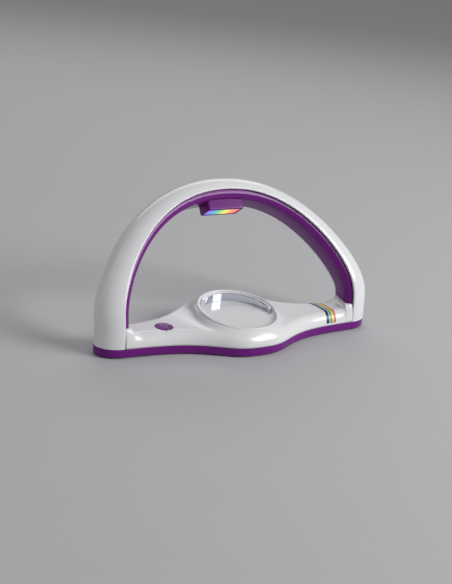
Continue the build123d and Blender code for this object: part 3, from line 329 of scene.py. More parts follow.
def curve_through(knots, values, places):
    """Values and slopes, at the places, of the smooth curve through the values at the knots."""
    gaps = np.diff(knots)
    rates = np.diff(values) / gaps
    count = len(knots)
    matrix, target = np.eye(count), np.zeros(count)
    for i in range(1, count - 1):
        matrix[i, i - 1 : i + 2] = gaps[i - 1], 2 * (gaps[i - 1] + gaps[i]), gaps[i]
        target[i] = 6 * (rates[i] - rates[i - 1])
    bend = np.linalg.solve(matrix, target)
    i = np.clip(np.searchsorted(knots, places) - 1, 0, count - 2)
    ahead, behind, gap = places - knots[i], knots[i + 1] - places, gaps[i]
    low = values[i] / gap - bend[i] * gap / 6
    high = values[i + 1] / gap - bend[i + 1] * gap / 6
    value = (bend[i] * behind**3 + bend[i + 1] * ahead**3) / (6 * gap)
    value += low * behind + high * ahead
    slope = (bend[i + 1] * ahead**2 - bend[i] * behind**2) / (2 * gap) - low + high
    return value, slope


# Form of the arch


def softened(arch, v):
    """Length along the lean at height v over the rim's start, and its slope."""
    reach = hypot(v, arch.lean_blend)
    return (v + reach) / 2, (1 + v / reach) / 2


def leaned(arch, foot_line, x, depth, v):
    """A point of the leaning arch: x across, depth to its back and v up."""
    run, slope = softened(arch, v)
    turn = arch.lean * slope
    y = foot_line + sin(arch.lean) * run + depth * cos(turn)
    z = arch.start + v - (1 - cos(arch.lean)) * run - depth * sin(turn)
    return Vector((x, y, z))


def rim_stations(arch, lowest):
    """Places of the rim from the right leg over the top to the left leg."""
    half = arch.span / 2 - arch.leg_crown
    right = [(half, -LEG_PITCH * count) for count in range(lowest, -1, -1)]
    for angle in RIM_ANGLES:
        across, up = cos(radians(angle)), sin(radians(angle))
        right.append((half * across ** RIM_POWERS[0], arch.rise * up ** RIM_POWERS[1]))
    return right + [(0.0, arch.rise)] + [(-x, v) for x, v in reversed(right)]


def arch_path(arch, lowest, count):
    """Evenly spread places along the rim, each with its outward direction."""
    places = np.array(rim_stations(arch, lowest))
    steps = np.hypot(*np.diff(places, axis=0).T)
    knots = np.concatenate(([0.0], np.cumsum(steps)))
    spread = np.linspace(0.0, knots[-1], count)
    x, dx = curve_through(knots, places[:, 0], spread)
    v, dv = curve_through(knots, places[:, 1], spread)
    size = np.hypot(dx, dv)
    return list(zip(x, v, dv / size, -dx / size))


def arch_rows(settings, lowest, count, profile):
    """Sections across the arch, one at each place of its path."""
    arch, rows = settings.arch, []
    for x, v, out_x, out_v in arch_path(arch, lowest, count):
        share = min(max((arch.rise - v) / arch.rise, 0.0), 1.0)
        crown = arch.top_crown + (arch.leg_crown - arch.top_crown) * share
        half = arch.top_half + (arch.leg_half - arch.top_half) * share
        turn = arch.lean * softened(arch, v)[1]
        middle = leaned(arch, settings.base.foot_line, x, 0, v)
        outward = Vector((out_x, out_v * sin(turn), out_v * cos(turn)))
        back = Vector((0, cos(turn), -sin(turn)))
        section = profile(crown, half, v)
        rows.append([middle + outward * out + back * depth for out, depth in section])
    return rows


def quarter(middle, radius, start, steps):
    """Points of a quarter circle, from a start angle in degrees, with the end left out."""
    x, y = middle
    turns = [radians(start + 90 * step / steps) for step in range(steps)]
    return [(x + radius * cos(turn), y + radius * sin(turn)) for turn in turns]


def shell_profile(wall, ease):
    """The shell's section: a crowned D with a flat rim whose edges are eased."""

    def crescent(out, depth, count, way):
        end = acos(ease / out)
        turns = np.linspace(-end, end, count)[::way]
        return [(out * cos(turn), depth * sin(turn)) for turn in turns]

    def profile(crown, half, v):
        outer = crescent(crown, half, 53, 1)
        inner = crescent(crown - wall, half - wall, 27, -1)
        upper = quarter((ease, half - ease), ease, 90, 4)[1:] + [(0.0, half - ease)]
        upper += quarter((ease, half - wall + ease), ease, 180, 4)
        lower = [(out, -depth) for out, depth in reversed(upper)]
        return outer + upper + inner + lower + outer[:1]

    return profile


def liner_draft(arch, v):
    """How much less the liner's back edge stands proud at height v of the rim."""
    return arch.liner_draft * (1 - max(v / arch.rise, 0.0) ** DRAFT_POWER)


def rounded_loop(corners, radii, steps):
    """Points round a closed polygon whose corners are rounded, each by its own radius."""
    points = []
    for i, corner in enumerate(corners):
        here = Vector(corner)
        before = (Vector(corners[i - 1]) - here).normalized()
        after = (Vector(corners[(i + 1) % len(corners)]) - here).normalized()
        half_angle = before.angle(after) / 2
        middle = here + (before + after).normalized() * (radii[i] / sin(half_angle))
        start = here + before * (radii[i] / tan(half_angle)) - middle
        sweep = pi - 2 * half_angle
        turns = [-sweep * step / steps for step in range(steps + 1)]
        points += [middle + Matrix.Rotation(turn, 2) @ start for turn in turns]
    return points


def liner_profile(arch):
    """The liner's section: a channel with rounded long edges, less proud at the back."""

    def profile(crown, half, v):
        reach = half - arch.wall - arch.liner_gap
        slope = liner_draft(arch, v) / (2 * reach)
        points = []
        for wall in (0.0, LINER_WALL):
            side = reach - wall
            front = wall * (hypot(1, slope) + slope) - arch.liner_proud
            back = front + slope * 2 * side
            corner = arch.liner_corner - wall
            back_corner = min(corner, LINER_BACK - slope * 2 * reach) if wall == 0 else corner
            corners = ((LINER_DEPTH, -side), (front, -side), (back, side), (LINER_DEPTH, side))
            loop = rounded_loop(corners, (LINER_EASE, corner, back_corner, LINER_EASE), 10)
            points += reversed(loop) if wall > 0 else loop
        return points + points[:1]

    return profile


# Form of the base


def rim_half(settings):
    """Half of the opening's width between the legs' rims."""
    return settings.arch.span / 2 - settings.arch.leg_crown


def bell(settings, x, half):
    """1 at the middle of the base and 0 at its legs."""
    at_leg = 1 / (1 + (rim_half(settings) / half) ** BELL_POWER)
    return (1 / (1 + abs(x / half) ** BELL_POWER) - at_leg) / (1 - at_leg)


def front_edge(settings, x):
    """Front edge of the base at x."""
    base, leg = settings.base, settings.arch.leg_half - leg_back(settings)
    return base.foot_line - leg - (base.front - leg) * bell(settings, x, FRONT_BELL)


def rear_edge(settings, x):
    """Rear edge of the base at x."""
    base, leg = settings.base, settings.arch.leg_half + leg_back(settings)
    return base.foot_line + leg + (base.rear - leg) * bell(settings, x, REAR_BELL)


def leg_lean(settings, z):
    """How far the legs' middle has leaned back at a height."""
    return leaned(settings.arch, 0.0, 0.0, 0.0, z - settings.arch.start).y


def leg_back(settings):
    """How far the legs stand behind the foot line at the band."""
    return leg_lean(settings, settings.base.band_top)


def cover_foot(settings):
    """Height of the white mouldings' lower edge, a thin seam above the band."""
    return settings.base.band_top + settings.base.seam * 0.7


def smooth_step(low, high, value):
    """0 below low and 1 above high, with a soft change between."""
    share = min(max((value - low) / (high - low), 0.0), 1.0)
    return share * share * (3 - 2 * share)


def ring_middle(settings):
    """Place of the ring's middle, front to back."""
    return settings.base.foot_line + settings.dish.offset


def button_middle(settings):
    """Place of the button's middle on the base."""
    return Vector((settings.base.button_x, settings.base.foot_line + BUTTON_SHIFT))


def cover_top(settings, x, y, level):
    """Height of the cover's upper face: a level top that flows into the dome."""
    dish = settings.dish
    away = y - ring_middle(settings)
    radius = hypot(x, away)
    if radius > DOME_REACH:
        return level
    places = np.array([max(radius, FLANK_KNOTS[0])])
    drop = curve_through(FLANK_KNOTS, FLANK_DROPS, places)[0][0]
    dome = dish.height + tan(dish.tilt) * away + drop
    gap = abs(dome - level)
    return max(dome, level) + max(DOME_BLEND - gap, 0.0) ** 2 / (4 * DOME_BLEND)


def flare_stations(settings):
    """Sections from the middle of the base to its end: x, height of the top, width of the edge."""
    arch, base = settings.arch, settings.base
    face = rim_half(settings) - arch.liner_proud
    top = arch.liner_end - base.seam
    rise, run = top - base.top, base.flare
    pitch, dense_end = 0.0009, 0.0468
    spots = [(pitch * i, base.top, base.edge) for i in range(52)]
    spare = face - run - dense_end
    spots += [(dense_end + spare * i / 48, base.top, base.edge) for i in range(1, 48)]
    for step in range(16):
        turn = pi / 2 * step / 15
        edge = base.edge + (FLARE_EDGE - base.edge) * step / 15
        spots.append((face - run * (1 - sin(turn)), base.top + rise * (1 - cos(turn)), edge))
    reach = rim_half(settings) - base.seam - 0.0001 - face
    for step in FLARE_STEPS:
        inward = max(arch.liner_corner - step * reach, 0.0)
        half = arch.leg_half - arch.wall - arch.liner_gap - arch.liner_corner
        half += sqrt(arch.liner_corner**2 - inward**2)
        spots.append((face + step * reach, top, min(arch.leg_half - half, FLARE_EDGE)))
    return spots


def section_shares(edge_steps, top_steps, margin=0.0):
    """Shares over a cover section from front to back, closest together on its rounded edges."""
    edge, top = SECTION_EDGE - margin, 1 - 2 * SECTION_EDGE
    shares = [margin + edge * i / edge_steps for i in range(edge_steps)]
    shares += [SECTION_EDGE + top * i / top_steps for i in range(top_steps)]
    return shares + [1 - SECTION_EDGE + edge * i / edge_steps for i in range(edge_steps + 1)]


def cover_point(settings, x, share, level, edge):
    """A point of the cover's upper face: share runs over its section from front to back."""
    front, rear = front_edge(settings, x), rear_edge(settings, x)
    if share < SECTION_EDGE:
        turn = pi / 2 * share / SECTION_EDGE
        y, lift = front + edge * (1 - cos(turn)), sin(turn)
    elif share > 1 - SECTION_EDGE:
        turn = pi / 2 * (1 - share) / SECTION_EDGE
        y, lift = rear - edge * (1 - cos(turn)), sin(turn)
    else:
        along = (share - SECTION_EDGE) / (1 - 2 * SECTION_EDGE)
        y, lift = front + edge + (rear - front - 2 * edge) * along, 1.0
    bottom = cover_foot(settings)
    z = bottom + (cover_top(settings, x, y, level) - bottom) * lift
    lean = leg_lean(settings, z) - leg_back(settings)
    y += lean * smooth_step(LEAN_START, LEAN_END, abs(x))
    across = (y - lean - front) / (rear - front)
    return Vector((x + flare_shift(settings, x, across), y, z))


def flare_shift(settings, x, across):
    """How far a flare follows the liner's draft, across from the front to the back of the base."""
    arch, limit = settings.arch, rim_half(settings)
    face = limit - arch.liner_proud
    near = smooth_step(face - settings.base.flare, face, abs(x))
    near *= min((limit - abs(x)) / arch.liner_proud, 1.0)
    side = (arch.wall + arch.liner_gap) / (2 * arch.leg_half)
    share = min(max((across - side) / (1 - 2 * side), 0.0), 1.0)
    return copysign(liner_draft(arch, arch.liner_end - arch.start) * near * share, x)


def outline(settings, inset):
    """The base's outline, moved inwards, as a closed loop of points."""
    arch, limit = settings.arch, rim_half(settings)
    middle = settings.base.foot_line + leg_back(settings)
    points = []
    for side, edge in ((1, front_edge), (-1, rear_edge)):
        points += [(x, edge(settings, x)) for x in np.linspace(-side * limit, side * limit, 141)]
        for turn in np.linspace(-pi / 2, pi / 2, 41)[1:-1]:
            out, depth = arch.leg_crown * cos(turn), arch.leg_half * sin(turn)
            points.append((side * (limit + out), middle + side * depth))
    moved = []
    for i, (x, y) in enumerate(points):
        ahead, behind = points[(i + 1) % len(points)], points[i - 1]
        run = Vector((ahead[0] - behind[0], ahead[1] - behind[1])).normalized()
        moved.append((x - run.y * inset, y + run.x * inset))
    return moved + moved[:1]


# Finishes


def math_node(nodes, links, operation, *values):
    """A Math node whose inputs are set to numbers or linked to sockets; gives its output."""
    node = nodes.new("ShaderNodeMath")
    node.operation = operation
    for entry, value in zip(node.inputs, values):
        if isinstance(value, float):
            entry.default_value = value
        else:
            links.new(value, entry)
    return node.outputs[0]


def moulded_surface_group():
    """Node group for a moulding's slight mottle, sheen changes and fine ripple."""
    found = bpy.data.node_groups.get("Moulded surface")
    if found:
        return found
    group = bpy.data.node_groups.new("Moulded surface", "ShaderNodeTree")
    for way, name, kind, default in (
        ("INPUT", "Vector", "Vector", None),
        ("INPUT", "Colour", "Color", (0.8, 0.8, 0.8, 1.0)),
        ("INPUT", "Mottle", "Float", 0.03),
        ("INPUT", "Roughness", "Float", 0.2),
        ("INPUT", "Sheen change", "Float", 0.05),
        ("INPUT", "Ripple", "Float", 1.0),
        ("INPUT", "Grain size", "Float", 900.0),
        ("OUTPUT", "Colour", "Color", None),
        ("OUTPUT", "Roughness", "Float", None),
        ("OUTPUT", "Height", "Float", None),
    ):
        kind = "NodeSocket" + kind
        made = group.interface.new_socket(name=name, in_out=way, socket_type=kind)
        if default is not None:
            made.default_value = default
    nodes, links = group.nodes, group.links
    given = nodes.new("NodeGroupInput").outputs
    result = nodes.new("NodeGroupOutput").inputs
    broad, grain, specks = (nodes.new("ShaderNodeTexNoise") for _ in range(3))
    for texture, scale, detail in ((broad, 22.0, 4.0), (grain, 900.0, 3.0), (specks, 160.0, 5.0)):
        links.new(given["Vector"], texture.inputs["Vector"])
        texture.inputs["Scale"].default_value = scale
        texture.inputs["Detail"].default_value = detail
    links.new(given["Grain size"], grain.inputs["Scale"])
    swing = math_node(nodes, links, "SUBTRACT", broad.outputs["Fac"], 0.5)
    shade = math_node(nodes, links, "MULTIPLY_ADD", swing, given["Mottle"], 1.0)
    tint = nodes.new("ShaderNodeVectorMath")
    tint.operation = "SCALE"
    links.new(given["Colour"], tint.inputs[0])
    links.new(shade, tint.inputs["Scale"])
    links.new(tint.outputs["Vector"], result["Colour"])
    dust = math_node(nodes, links, "SUBTRACT", specks.outputs["Fac"], 0.45)
    sheen = math_node(nodes, links, "MULTIPLY_ADD", dust, given["Sheen change"], given["Roughness"])
    sheen.node.use_clamp = True
    links.new(sheen, result["Roughness"])
    height = math_node(nodes, links, "MULTIPLY", grain.outputs["Fac"], given["Ripple"])
    links.new(height, result["Height"])
    return group


def moulding(
    name, colour, roughness, mottle, sheen, ripple, grain, coat=0.0, metallic=0.0, ior=1.5
):
    """A material for a moulded or plated piece, with the shared surface detail."""
    found = bpy.data.materials.get(name)
    if found:
        return found
    material = bpy.data.materials.new(name)
    material.use_nodes = True
    nodes, links = material.node_tree.nodes, material.node_tree.links
    shader = nodes["Principled BSDF"]
    place = nodes.new("ShaderNodeTexCoord")
    surface = nodes.new("ShaderNodeGroup")
    surface.node_tree = moulded_surface_group()
    bump = nodes.new("ShaderNodeBump")
    for node, entry, value in (
        (surface, "Colour", (*colour, 1.0)),
        (surface, "Mottle", mottle),
        (surface, "Roughness", roughness),
        (surface, "Sheen change", sheen),
        (surface, "Ripple", ripple),
        (surface, "Grain size", grain),
        (bump, "Strength", 0.25),
        (bump, "Distance", 0.0004),
        (shader, "Metallic", metallic),
        (shader, "Coat Weight", coat),
        (shader, "Coat Roughness", 0.06),
        (shader, "IOR", ior),
    ):
        node.inputs[entry].default_value = value
    links.new(place.outputs["Object"], surface.inputs["Vector"])
    links.new(surface.outputs["Colour"], shader.inputs["Base Color"])
    links.new(surface.outputs["Roughness"], shader.inputs["Roughness"])
    links.new(surface.outputs["Height"], bump.inputs["Height"])
    links.new(bump.outputs["Normal"], shader.inputs["Normal"])
    return material


def white_plastic(settings):
    """Glossy white moulding."""
    return moulding("gloss_white", settings.finish.white, 0.21, 0.02, 0.05, 0.02, 700.0, coat=0.15)


def purple_plastic(settings):
    """Glossy purple moulding."""
    return moulding("gloss_purple", settings.finish.purple, 0.18, 0.10, 0.06, 0.02, 700.0, ior=1.36)


STRIPES = (
    (0.0, (0.022, 0.012, 0.065)),
    (0.27, (0.30, 0.55, 0.66)),
    (0.43, (0.035, 0.27, 0.07)),
    (0.58, (0.80, 0.66, 0.13)),
    (0.76, (0.80, 0.27, 0.10)),
    (0.91, (0.30, 0.015, 0.02)),
)
LIGHTS = (
    (0.0, (0.22, 0.05, 0.75)),
    (0.2, (0.05, 0.22, 0.85)),
    (0.4, (0.04, 0.60, 0.18)),
    (0.6, (0.85, 0.72, 0.05)),
    (0.8, (0.90, 0.30, 0.03)),
    (1.0, (0.75, 0.03, 0.04)),
)


def opened(material):
    """What a moulding's material is built from: its tree, shader, surface and coordinates."""
    tree = material.node_tree
    shader = tree.nodes["Principled BSDF"]
    surface = shader.inputs["Base Color"].links[0].from_node
    place = surface.inputs["Vector"].links[0].from_socket
    return tree.nodes, tree.links, shader, surface, place


def banded(nodes, links, share, colours, interpolation):
    """The colour at a share from 0 to 1, through the given places and colours."""
    ramp = nodes.new("ShaderNodeValToRGB")
    ramp.color_ramp.interpolation = interpolation
    ends = ramp.color_ramp.elements
    for i, (place, colour) in enumerate(colours):
        element = ends[i] if i < 2 else ends.new(place)
        element.position = place
        element.color = (*colour, 1.0)
    links.new(share, ramp.inputs["Fac"])
    return ramp.outputs["Color"]


def one_axis(nodes, links, vector, axis):
    """One of a vector's three numbers."""
    split = nodes.new("ShaderNodeSeparateXYZ")
    links.new(vector, split.inputs["Vector"])
    return split.outputs[axis]


def share_between(nodes, links, vector, low, high):
    """How far a point has gone along x from low to high, from 0 to 1."""
    spread = nodes.new("ShaderNodeMapRange")
    spread.inputs["From Min"].default_value = low
    spread.inputs["From Max"].default_value = high
    links.new(one_axis(nodes, links, vector, "X"), spread.inputs["Value"])
    return spread.outputs["Result"]


def print_material():
    """Printed bands of colour, read from the print's own map."""
    material = moulding("printed_bands", (1.0, 1.0, 1.0), 0.3, 0.06, 0.06, 0.03, 1500.0)
    nodes, links, _, surface, _ = opened(material)
    uv = nodes.new("ShaderNodeUVMap")
    uv.uv_map = "bands"
    share = one_axis(nodes, links, uv.outputs["UV"], "X")
    links.new(banded(nodes, links, share, STRIPES, "CONSTANT"), surface.inputs["Colour"])
    return material


def lens_material(settings):
    """Frosted ribbed lens, lit in bands of colour from one end to the other."""
    grey = (0.22, 0.23, 0.27)
    material = moulding("lit_lens", grey, 0.25, 0.05, 0.10, 0.05, 1200.0, coat=0.2)
    nodes, links, shader, _, place = opened(material)
    share = share_between(nodes, links, place, LENS_BOX[0].x, LENS_BOX[1].x)
    links.new(banded(nodes, links, share, LIGHTS, "EASE"), shader.inputs["Emission Color"])
    shader.inputs["Emission Strength"].default_value = settings.finish.glow
    return material


def board_material():
    """Green board with lighter copper tracks under its mask."""
    mask = (0.012, 0.10, 0.035)
    material = moulding("circuit_board", mask, 0.35, 0.15, 0.08, 0.1, 900.0, coat=0.2)
    nodes, links, _, surface, place = opened(material)
    tracks = nodes.new("ShaderNodeTexBrick")
    for entry, value in (
        ("Scale", 220.0),
        ("Mortar Size", 0.06),
        ("Color1", (*mask, 1)),
        ("Color2", (0.010, 0.085, 0.03, 1)),
        ("Mortar", (0.05, 0.23, 0.08, 1)),
    ):
        tracks.inputs[entry].default_value = value
    links.new(place, tracks.inputs["Vector"])
    links.new(tracks.outputs["Color"], surface.inputs["Colour"])
    return material


def cell_material():
    """Dark plain wrap with a lighter band at one end of each cell."""
    wrap, end, half = (0.03, 0.033, 0.04), (0.45, 0.33, 0.16), 0.024
    material = moulding(
        "cell_wrap", wrap, 0.28, 0.1, 0.1, 0.05, 700.0, coat=0.4, metallic=0.4
    )
    nodes, links, _, surface, place = opened(material)
    share = share_between(nodes, links, place, -half, half)
    colours = ((0.0, end), (0.22, wrap), (0.78, end))
    links.new(banded(nodes, links, share, colours, "CONSTANT"), surface.inputs["Colour"])
    return material


def dress(names, material):
    """Gives CAD nodes a better material."""
    for name in names:
        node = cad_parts[name]
        node.data.materials.clear()
        node.data.materials.append(material)


# Finishes of the hidden pieces: the nodes, then what moulding is given
INNER_FINISHES = (
    (
        ("lamp_leds",),
        ("light_package", (0.80, 0.70, 0.30), 0.25, 0.1, 0.05, 0.02, 1500.0, 0.3),
    ),
    (
        ("control_chip", "switch_body", "lamp_baffle"),
        ("matt_black", (0.018, 0.018, 0.02), 0.45, 0.2, 0.15, 0.15, 1600.0),
    ),
    (
        ("switch_plunger",),
        ("satin_light", (0.62, 0.62, 0.60), 0.4, 0.05, 0.1, 0.1, 1500.0),
    ),
    (
        ("storage_capacitor",),
        ("capacitor_can", (0.30, 0.31, 0.34), 0.3, 0.1, 0.15, 0.1, 900.0, 0.0, 0.7),
    ),
    (
        ("case_screws", "door_screw"),
        ("plated_steel", (0.56, 0.56, 0.58), 0.27, 0.12, 0.25, 0.15, 1300.0, 0.0, 1.0),
    ),
    (
        ("contact_plates", "contact_springs"),
        ("contact_plate", (0.66, 0.64, 0.58), 0.22, 0.1, 0.2, 0.1, 1100.0, 0.0, 1.0),
    ),
    (
        ("rubber_feet",),
        ("foot_rubber", (0.028, 0.028, 0.030), 0.75, 0.2, 0.2, 0.6, 1800.0),
    ),
    (
        ("lamp_lead", "battery_lead"),
        ("lead_sheath", (0.03, 0.03, 0.032), 0.5, 0.15, 0.15, 0.3, 1300.0),
    ),
)


# Pieces


class NIGHTLIGHT_OT_arch_shell(bpy.types.Operator):
    """Builds the crowned white shell of the arch, with its eased rim"""

    bl_idname = "night_light.arch_shell"
    bl_label = "Arch shell"

    def execute(self, context):
        settings = context.scene.night_light
        bm = bmesh.new()
        skin(bm, arch_rows(settings, 3, 151, shell_profile(settings.arch.wall, SHELL_EASE)))
        cut_level(bm, cover_foot(settings))
        make_piece(
            bm, "arch_shell_body", "lamp", white_plastic(settings),
            stands_for=("arch_shell",),
        )
        return {"FINISHED"}


class NIGHTLIGHT_OT_arch_liner(bpy.types.Operator):
    """Builds the purple liner, a rounded channel inside the arch"""

    bl_idname = "night_light.arch_liner"
    bl_label = "Arch liner"

    def execute(self, context):
        settings = context.scene.night_light
        bm = bmesh.new()
        skin(bm, arch_rows(settings, 2, 141, liner_profile(settings.arch)))
        cut_level(bm, settings.arch.liner_end)
        make_piece(
            bm, "arch_liner_body", "lamp", purple_plastic(settings),
            stands_for=("arch_liner",),
        )
        return {"FINISHED"}


class NIGHTLIGHT_OT_base_cover(bpy.types.Operator):
    """Builds the white cover, from its rounded edge over the dome to the flares at the legs"""

    bl_idname = "night_light.base_cover"
    bl_label = "Base cover"

    def execute(self, context):
        settings = context.scene.night_light
        right = flare_stations(settings)
        spots = [(-x, level, edge) for x, level, edge in reversed(right[1:])] + right
        shares = section_shares(12, 96)
        rows = []
        for x, level, edge in spots:
            rows.append([cover_point(settings, x, share, level, edge) for share in shares])
        bm = bmesh.new()
        skin(bm, rows)
        ring, button = Vector((0.0, ring_middle(settings))), button_middle(settings)
        hole = settings.base.button_radius + BUTTON_GAP
        catch, merge = 0.0016, 0.0004  # the cut grid's points are pulled to the hole's edge
        for middle, radius in ((ring, DISH_HOLE), (button, hole)):
            upper = [vert for vert in bm.verts if vert.co.z > UPPER_FACE]
            inside = [vert for vert in upper if (vert.co.xy - middle).length < radius]
            bmesh.ops.delete(bm, geom=inside, context="VERTS")
            rim = []
            for vert in bm.verts:
                reach = vert.co.xy - middle
                near = vert.co.z > UPPER_FACE and reach.length < radius + catch
                if vert.is_boundary and near:
                    vert.co.xy = middle + reach.normalized() * radius
                    rim.append(vert)
            bmesh.ops.remove_doubles(bm, verts=rim, dist=merge)
        piece = make_piece(
            bm, "base_cover_body", "lamp", white_plastic(settings),
            stands_for=("base_cover",),
        )
        give_wall(piece, 0.0008)
        return {"FINISHED"}


class NIGHTLIGHT_OT_dish(bpy.types.Operator):
    """Builds the bead round the dish and the dish inside it"""

    bl_idname = "night_light.dish"
    bl_label = "Dish"

    def execute(self, context):
        settings = context.scene.night_light
        dish, middle = settings.dish, ring_middle(settings)
        floor_width, mirror_width = 0.0065, 0.0006  # of the hollow between the bead and floor
        low, fallen = 0.35, 0.45  # how far the bead is sunk, and sinks where it fades
        rows = []
        for step in range(181):
            turn = 2 * pi * step / 180
            angle = (degrees(turn) + 90) % 360 - 90  # the mirror runs from -5 to 135 degrees
            by_mirror = smooth_step(-16, -5, angle) * (1 - smooth_step(135, 147, angle))
            fade = smooth_step(-100, -40, angle) * (1 - smooth_step(-14, 4, angle))
            width = floor_width - (floor_width - mirror_width) * by_mirror
            profile = []
            for sweep in range(-40, 181, 20):
                out = dish.radius + dish.bead * cos(radians(sweep))
                lift = dish.bead * (sin(radians(sweep)) - low - fallen * fade)
                profile.append((out, dish.height + tan(dish.tilt) * sin(turn) * out + lift))
            start, height = dish.radius - dish.bead, profile[-1][1]
            for part in range(1, 11):
                bend = pi / 2 * part / 10
                z = height + (dish.floor - height) * sin(bend)
                profile.append((start - width * (1 - cos(bend)), z))
            profile += [((start - width) * (1 - part / 8), dish.floor) for part in range(1, 9)]
            rows.append([round_place(turn, out, middle, z) for out, z in profile])
        bm = bmesh.new()
        skin(bm, rows)
        bmesh.ops.dissolve_degenerate(bm, edges=bm.edges, dist=1e-7)
        piece = make_piece(
            bm, "dish_body", "lamp", white_plastic(settings), sharp=50
        )
        give_wall(piece, 0.0005)
        return {"FINISHED"}


class NIGHTLIGHT_OT_mirror(bpy.types.Operator):
    """Builds the curved mirror strip and gives its carrier the cover's finish"""

    bl_idname = "night_light.mirror"
    bl_label = "Mirror"

    def execute(self, context):
        settings = context.scene.night_light
        dish, middle = settings.dish, ring_middle(settings)
        near, far, ease = 0.02745, 0.02845, 0.0002
        profile = (
            (near, 0.0, 0.0), (near, 0.5, 0.0), (near, 1.0, -ease), (near + ease, 1.0, 0.0),
            (far - ease, 1.0, 0.0), (far, 1.0, -ease), (far, 0.5, 0.0), (far, 0.0, 0.0),
            (near, 0.0, 0.0),
        )
        clear, sunk = 0.00015, 0.0009  # gap over the dish's floor, and drop below the ring
        bottom = dish.floor + clear
        rows = []
        for step in range(97):
            turn = dish.mirror_start + dish.mirror_sweep * step / 96
            points = []
            for out, share, lift in profile:
                top = dish.height + tan(dish.tilt) * sin(turn) * out - sunk
                z = bottom + (top - bottom) * share + lift
                points.append(round_place(turn, out, middle, z))
            rows.append(points)
        bm = bmesh.new()
        skin(bm, rows)
        close_holes(bm)
        silver = (0.66, 0.70, 0.77)
        finish = moulding("mirror_face", silver, 0.03, 0.01, 0.02, 0.0, 300.0, metallic=1.0)
        make_piece(
            bm, "mirror_strip_body", "lamp", finish, sharp=25,
            stands_for=("mirror_strip",),
        )
        dress(("mirror_carrier",), white_plastic(settings))
        return {"FINISHED"}


class NIGHTLIGHT_OT_band(bpy.types.Operator):
    """Builds the purple band that runs all round the base"""

    bl_idname = "night_light.band"
    bl_label = "Base band"

    def execute(self, context):
        settings = context.scene.night_light
        low, high = BAND_BOX[0].z - 0.00002, settings.base.band_top
        ease, chamfer = 0.001, 0.0003
        under, over = 0.0034, 0.0022  # how far the band turns in below and above
        proud = 0.00003  # how far the band stands outside the housing that it covers
        profile = [(under, low), (ease, low)]
        for step in range(1, 6):
            turn = pi / 2 * step / 6
            profile.append((ease * (1 - sin(turn)), low + ease * (1 - cos(turn))))
        profile += [(0.0, low + ease), (0.0, 0.0035), (0.0, 0.0055), (0.0, high - chamfer)]
        profile += [(0.00009, high - 0.00009), (chamfer, high), (over, high)]
        loops = []
        for inset, z in profile:
            loops.append([Vector((x, y, z)) for x, y in outline(settings, inset - proud)])
        bm = bmesh.new()
        skin(bm, loops)
        piece = make_piece(
            bm, "base_band", "lamp", purple_plastic(settings)
        )
        give_wall(piece, 0.0002)
        dress(("base_housing", "battery_door"), purple_plastic(settings))
        return {"FINISHED"}


class NIGHTLIGHT_OT_button(bpy.types.Operator):
    """Builds the push button, slightly hollow on top, and its raised sign"""

    bl_idname = "night_light.button"
    bl_label = "Push button"

    def execute(self, context):
        settings = context.scene.night_light
        place = button_middle(settings).to_3d()
        top, radius = settings.base.button_top, settings.base.button_radius
        flange, stem = 0.0074, 0.0022  # radii; the depths below the top follow
        flange_top, flange_foot, foot = 0.0028, 0.0040, 0.0068
        profile = [
            (0.0, 0.00030), (0.0016, 0.00028), (0.0032, 0.00020), (0.0045, 0.00008),
            (0.0053, 0.0), (0.0058, 0.00002), (0.0062, 0.00014), (0.0064, 0.00032),
            (radius, 0.0006), (radius, flange_top), (flange, flange_top), (flange, flange_foot),
            (stem, flange_foot), (stem, foot), (0.0, foot),
        ]
        bm = bmesh.new()
        turned(bm, [(out, top - drop) for out, drop in profile], place, 72)
        make_piece(
            bm, "button_cap", "button", purple_plastic(settings),
            stands_for=("power_button",),
        )
        bm = bmesh.new()
        opening, wire, sign_radius = 70, 0.00034, 0.0024  # in degrees, and in metres
        made = bmesh.ops.create_circle(bm, segments=10, radius=wire, cap_ends=False)
        upright = Matrix.Translation((sign_radius, 0, 0)) @ Matrix.Rotation(pi / 2, 4, "X")
        bmesh.ops.transform(bm, verts=made["verts"], matrix=upright)
        start = Matrix.Rotation(radians(90 + opening / 2), 3, "Z")
        bmesh.ops.rotate(bm, verts=made["verts"], cent=(0, 0, 0), matrix=start)
        bmesh.ops.spin(
            bm, geom=bm.edges[:], cent=(0, 0, 0), axis=(0, 0, 1),
            angle=radians(360 - opening), steps=40, use_merge=False,
        )
        ends = [edge for edge in bm.edges if edge.is_boundary]
        bmesh.ops.holes_fill(bm, edges=ends, sides=0)
        bar = bmesh.ops.create_cube(bm, size=1.0)["verts"]
        bmesh.ops.scale(bm, vec=(0.00062, 0.0026, 0.00060), verts=bar)
        bmesh.ops.translate(bm, vec=(0, 0.0021, 0), verts=bar)
        edges = {edge for vert in bar for edge in vert.link_edges}
        bmesh.ops.bevel(
            bm, geom=list(edges), offset=0.00014, offset_type="OFFSET", segments=2, profile=0.5,
            affect="EDGES", clamp_overlap=True, material=-1,
        )
        hollow = profile[0][1]
        bmesh.ops.translate(bm, vec=place + Vector((0, 0, top - hollow)), verts=bm.verts)
        pale = settings.finish.symbol
        sign = moulding("button_sign", pale, 0.22, 0.08, 0.06, 0.03, 1500.0, coat=0.3)
        make_piece(bm, "button_sign", "button", sign)
        return {"FINISHED"}


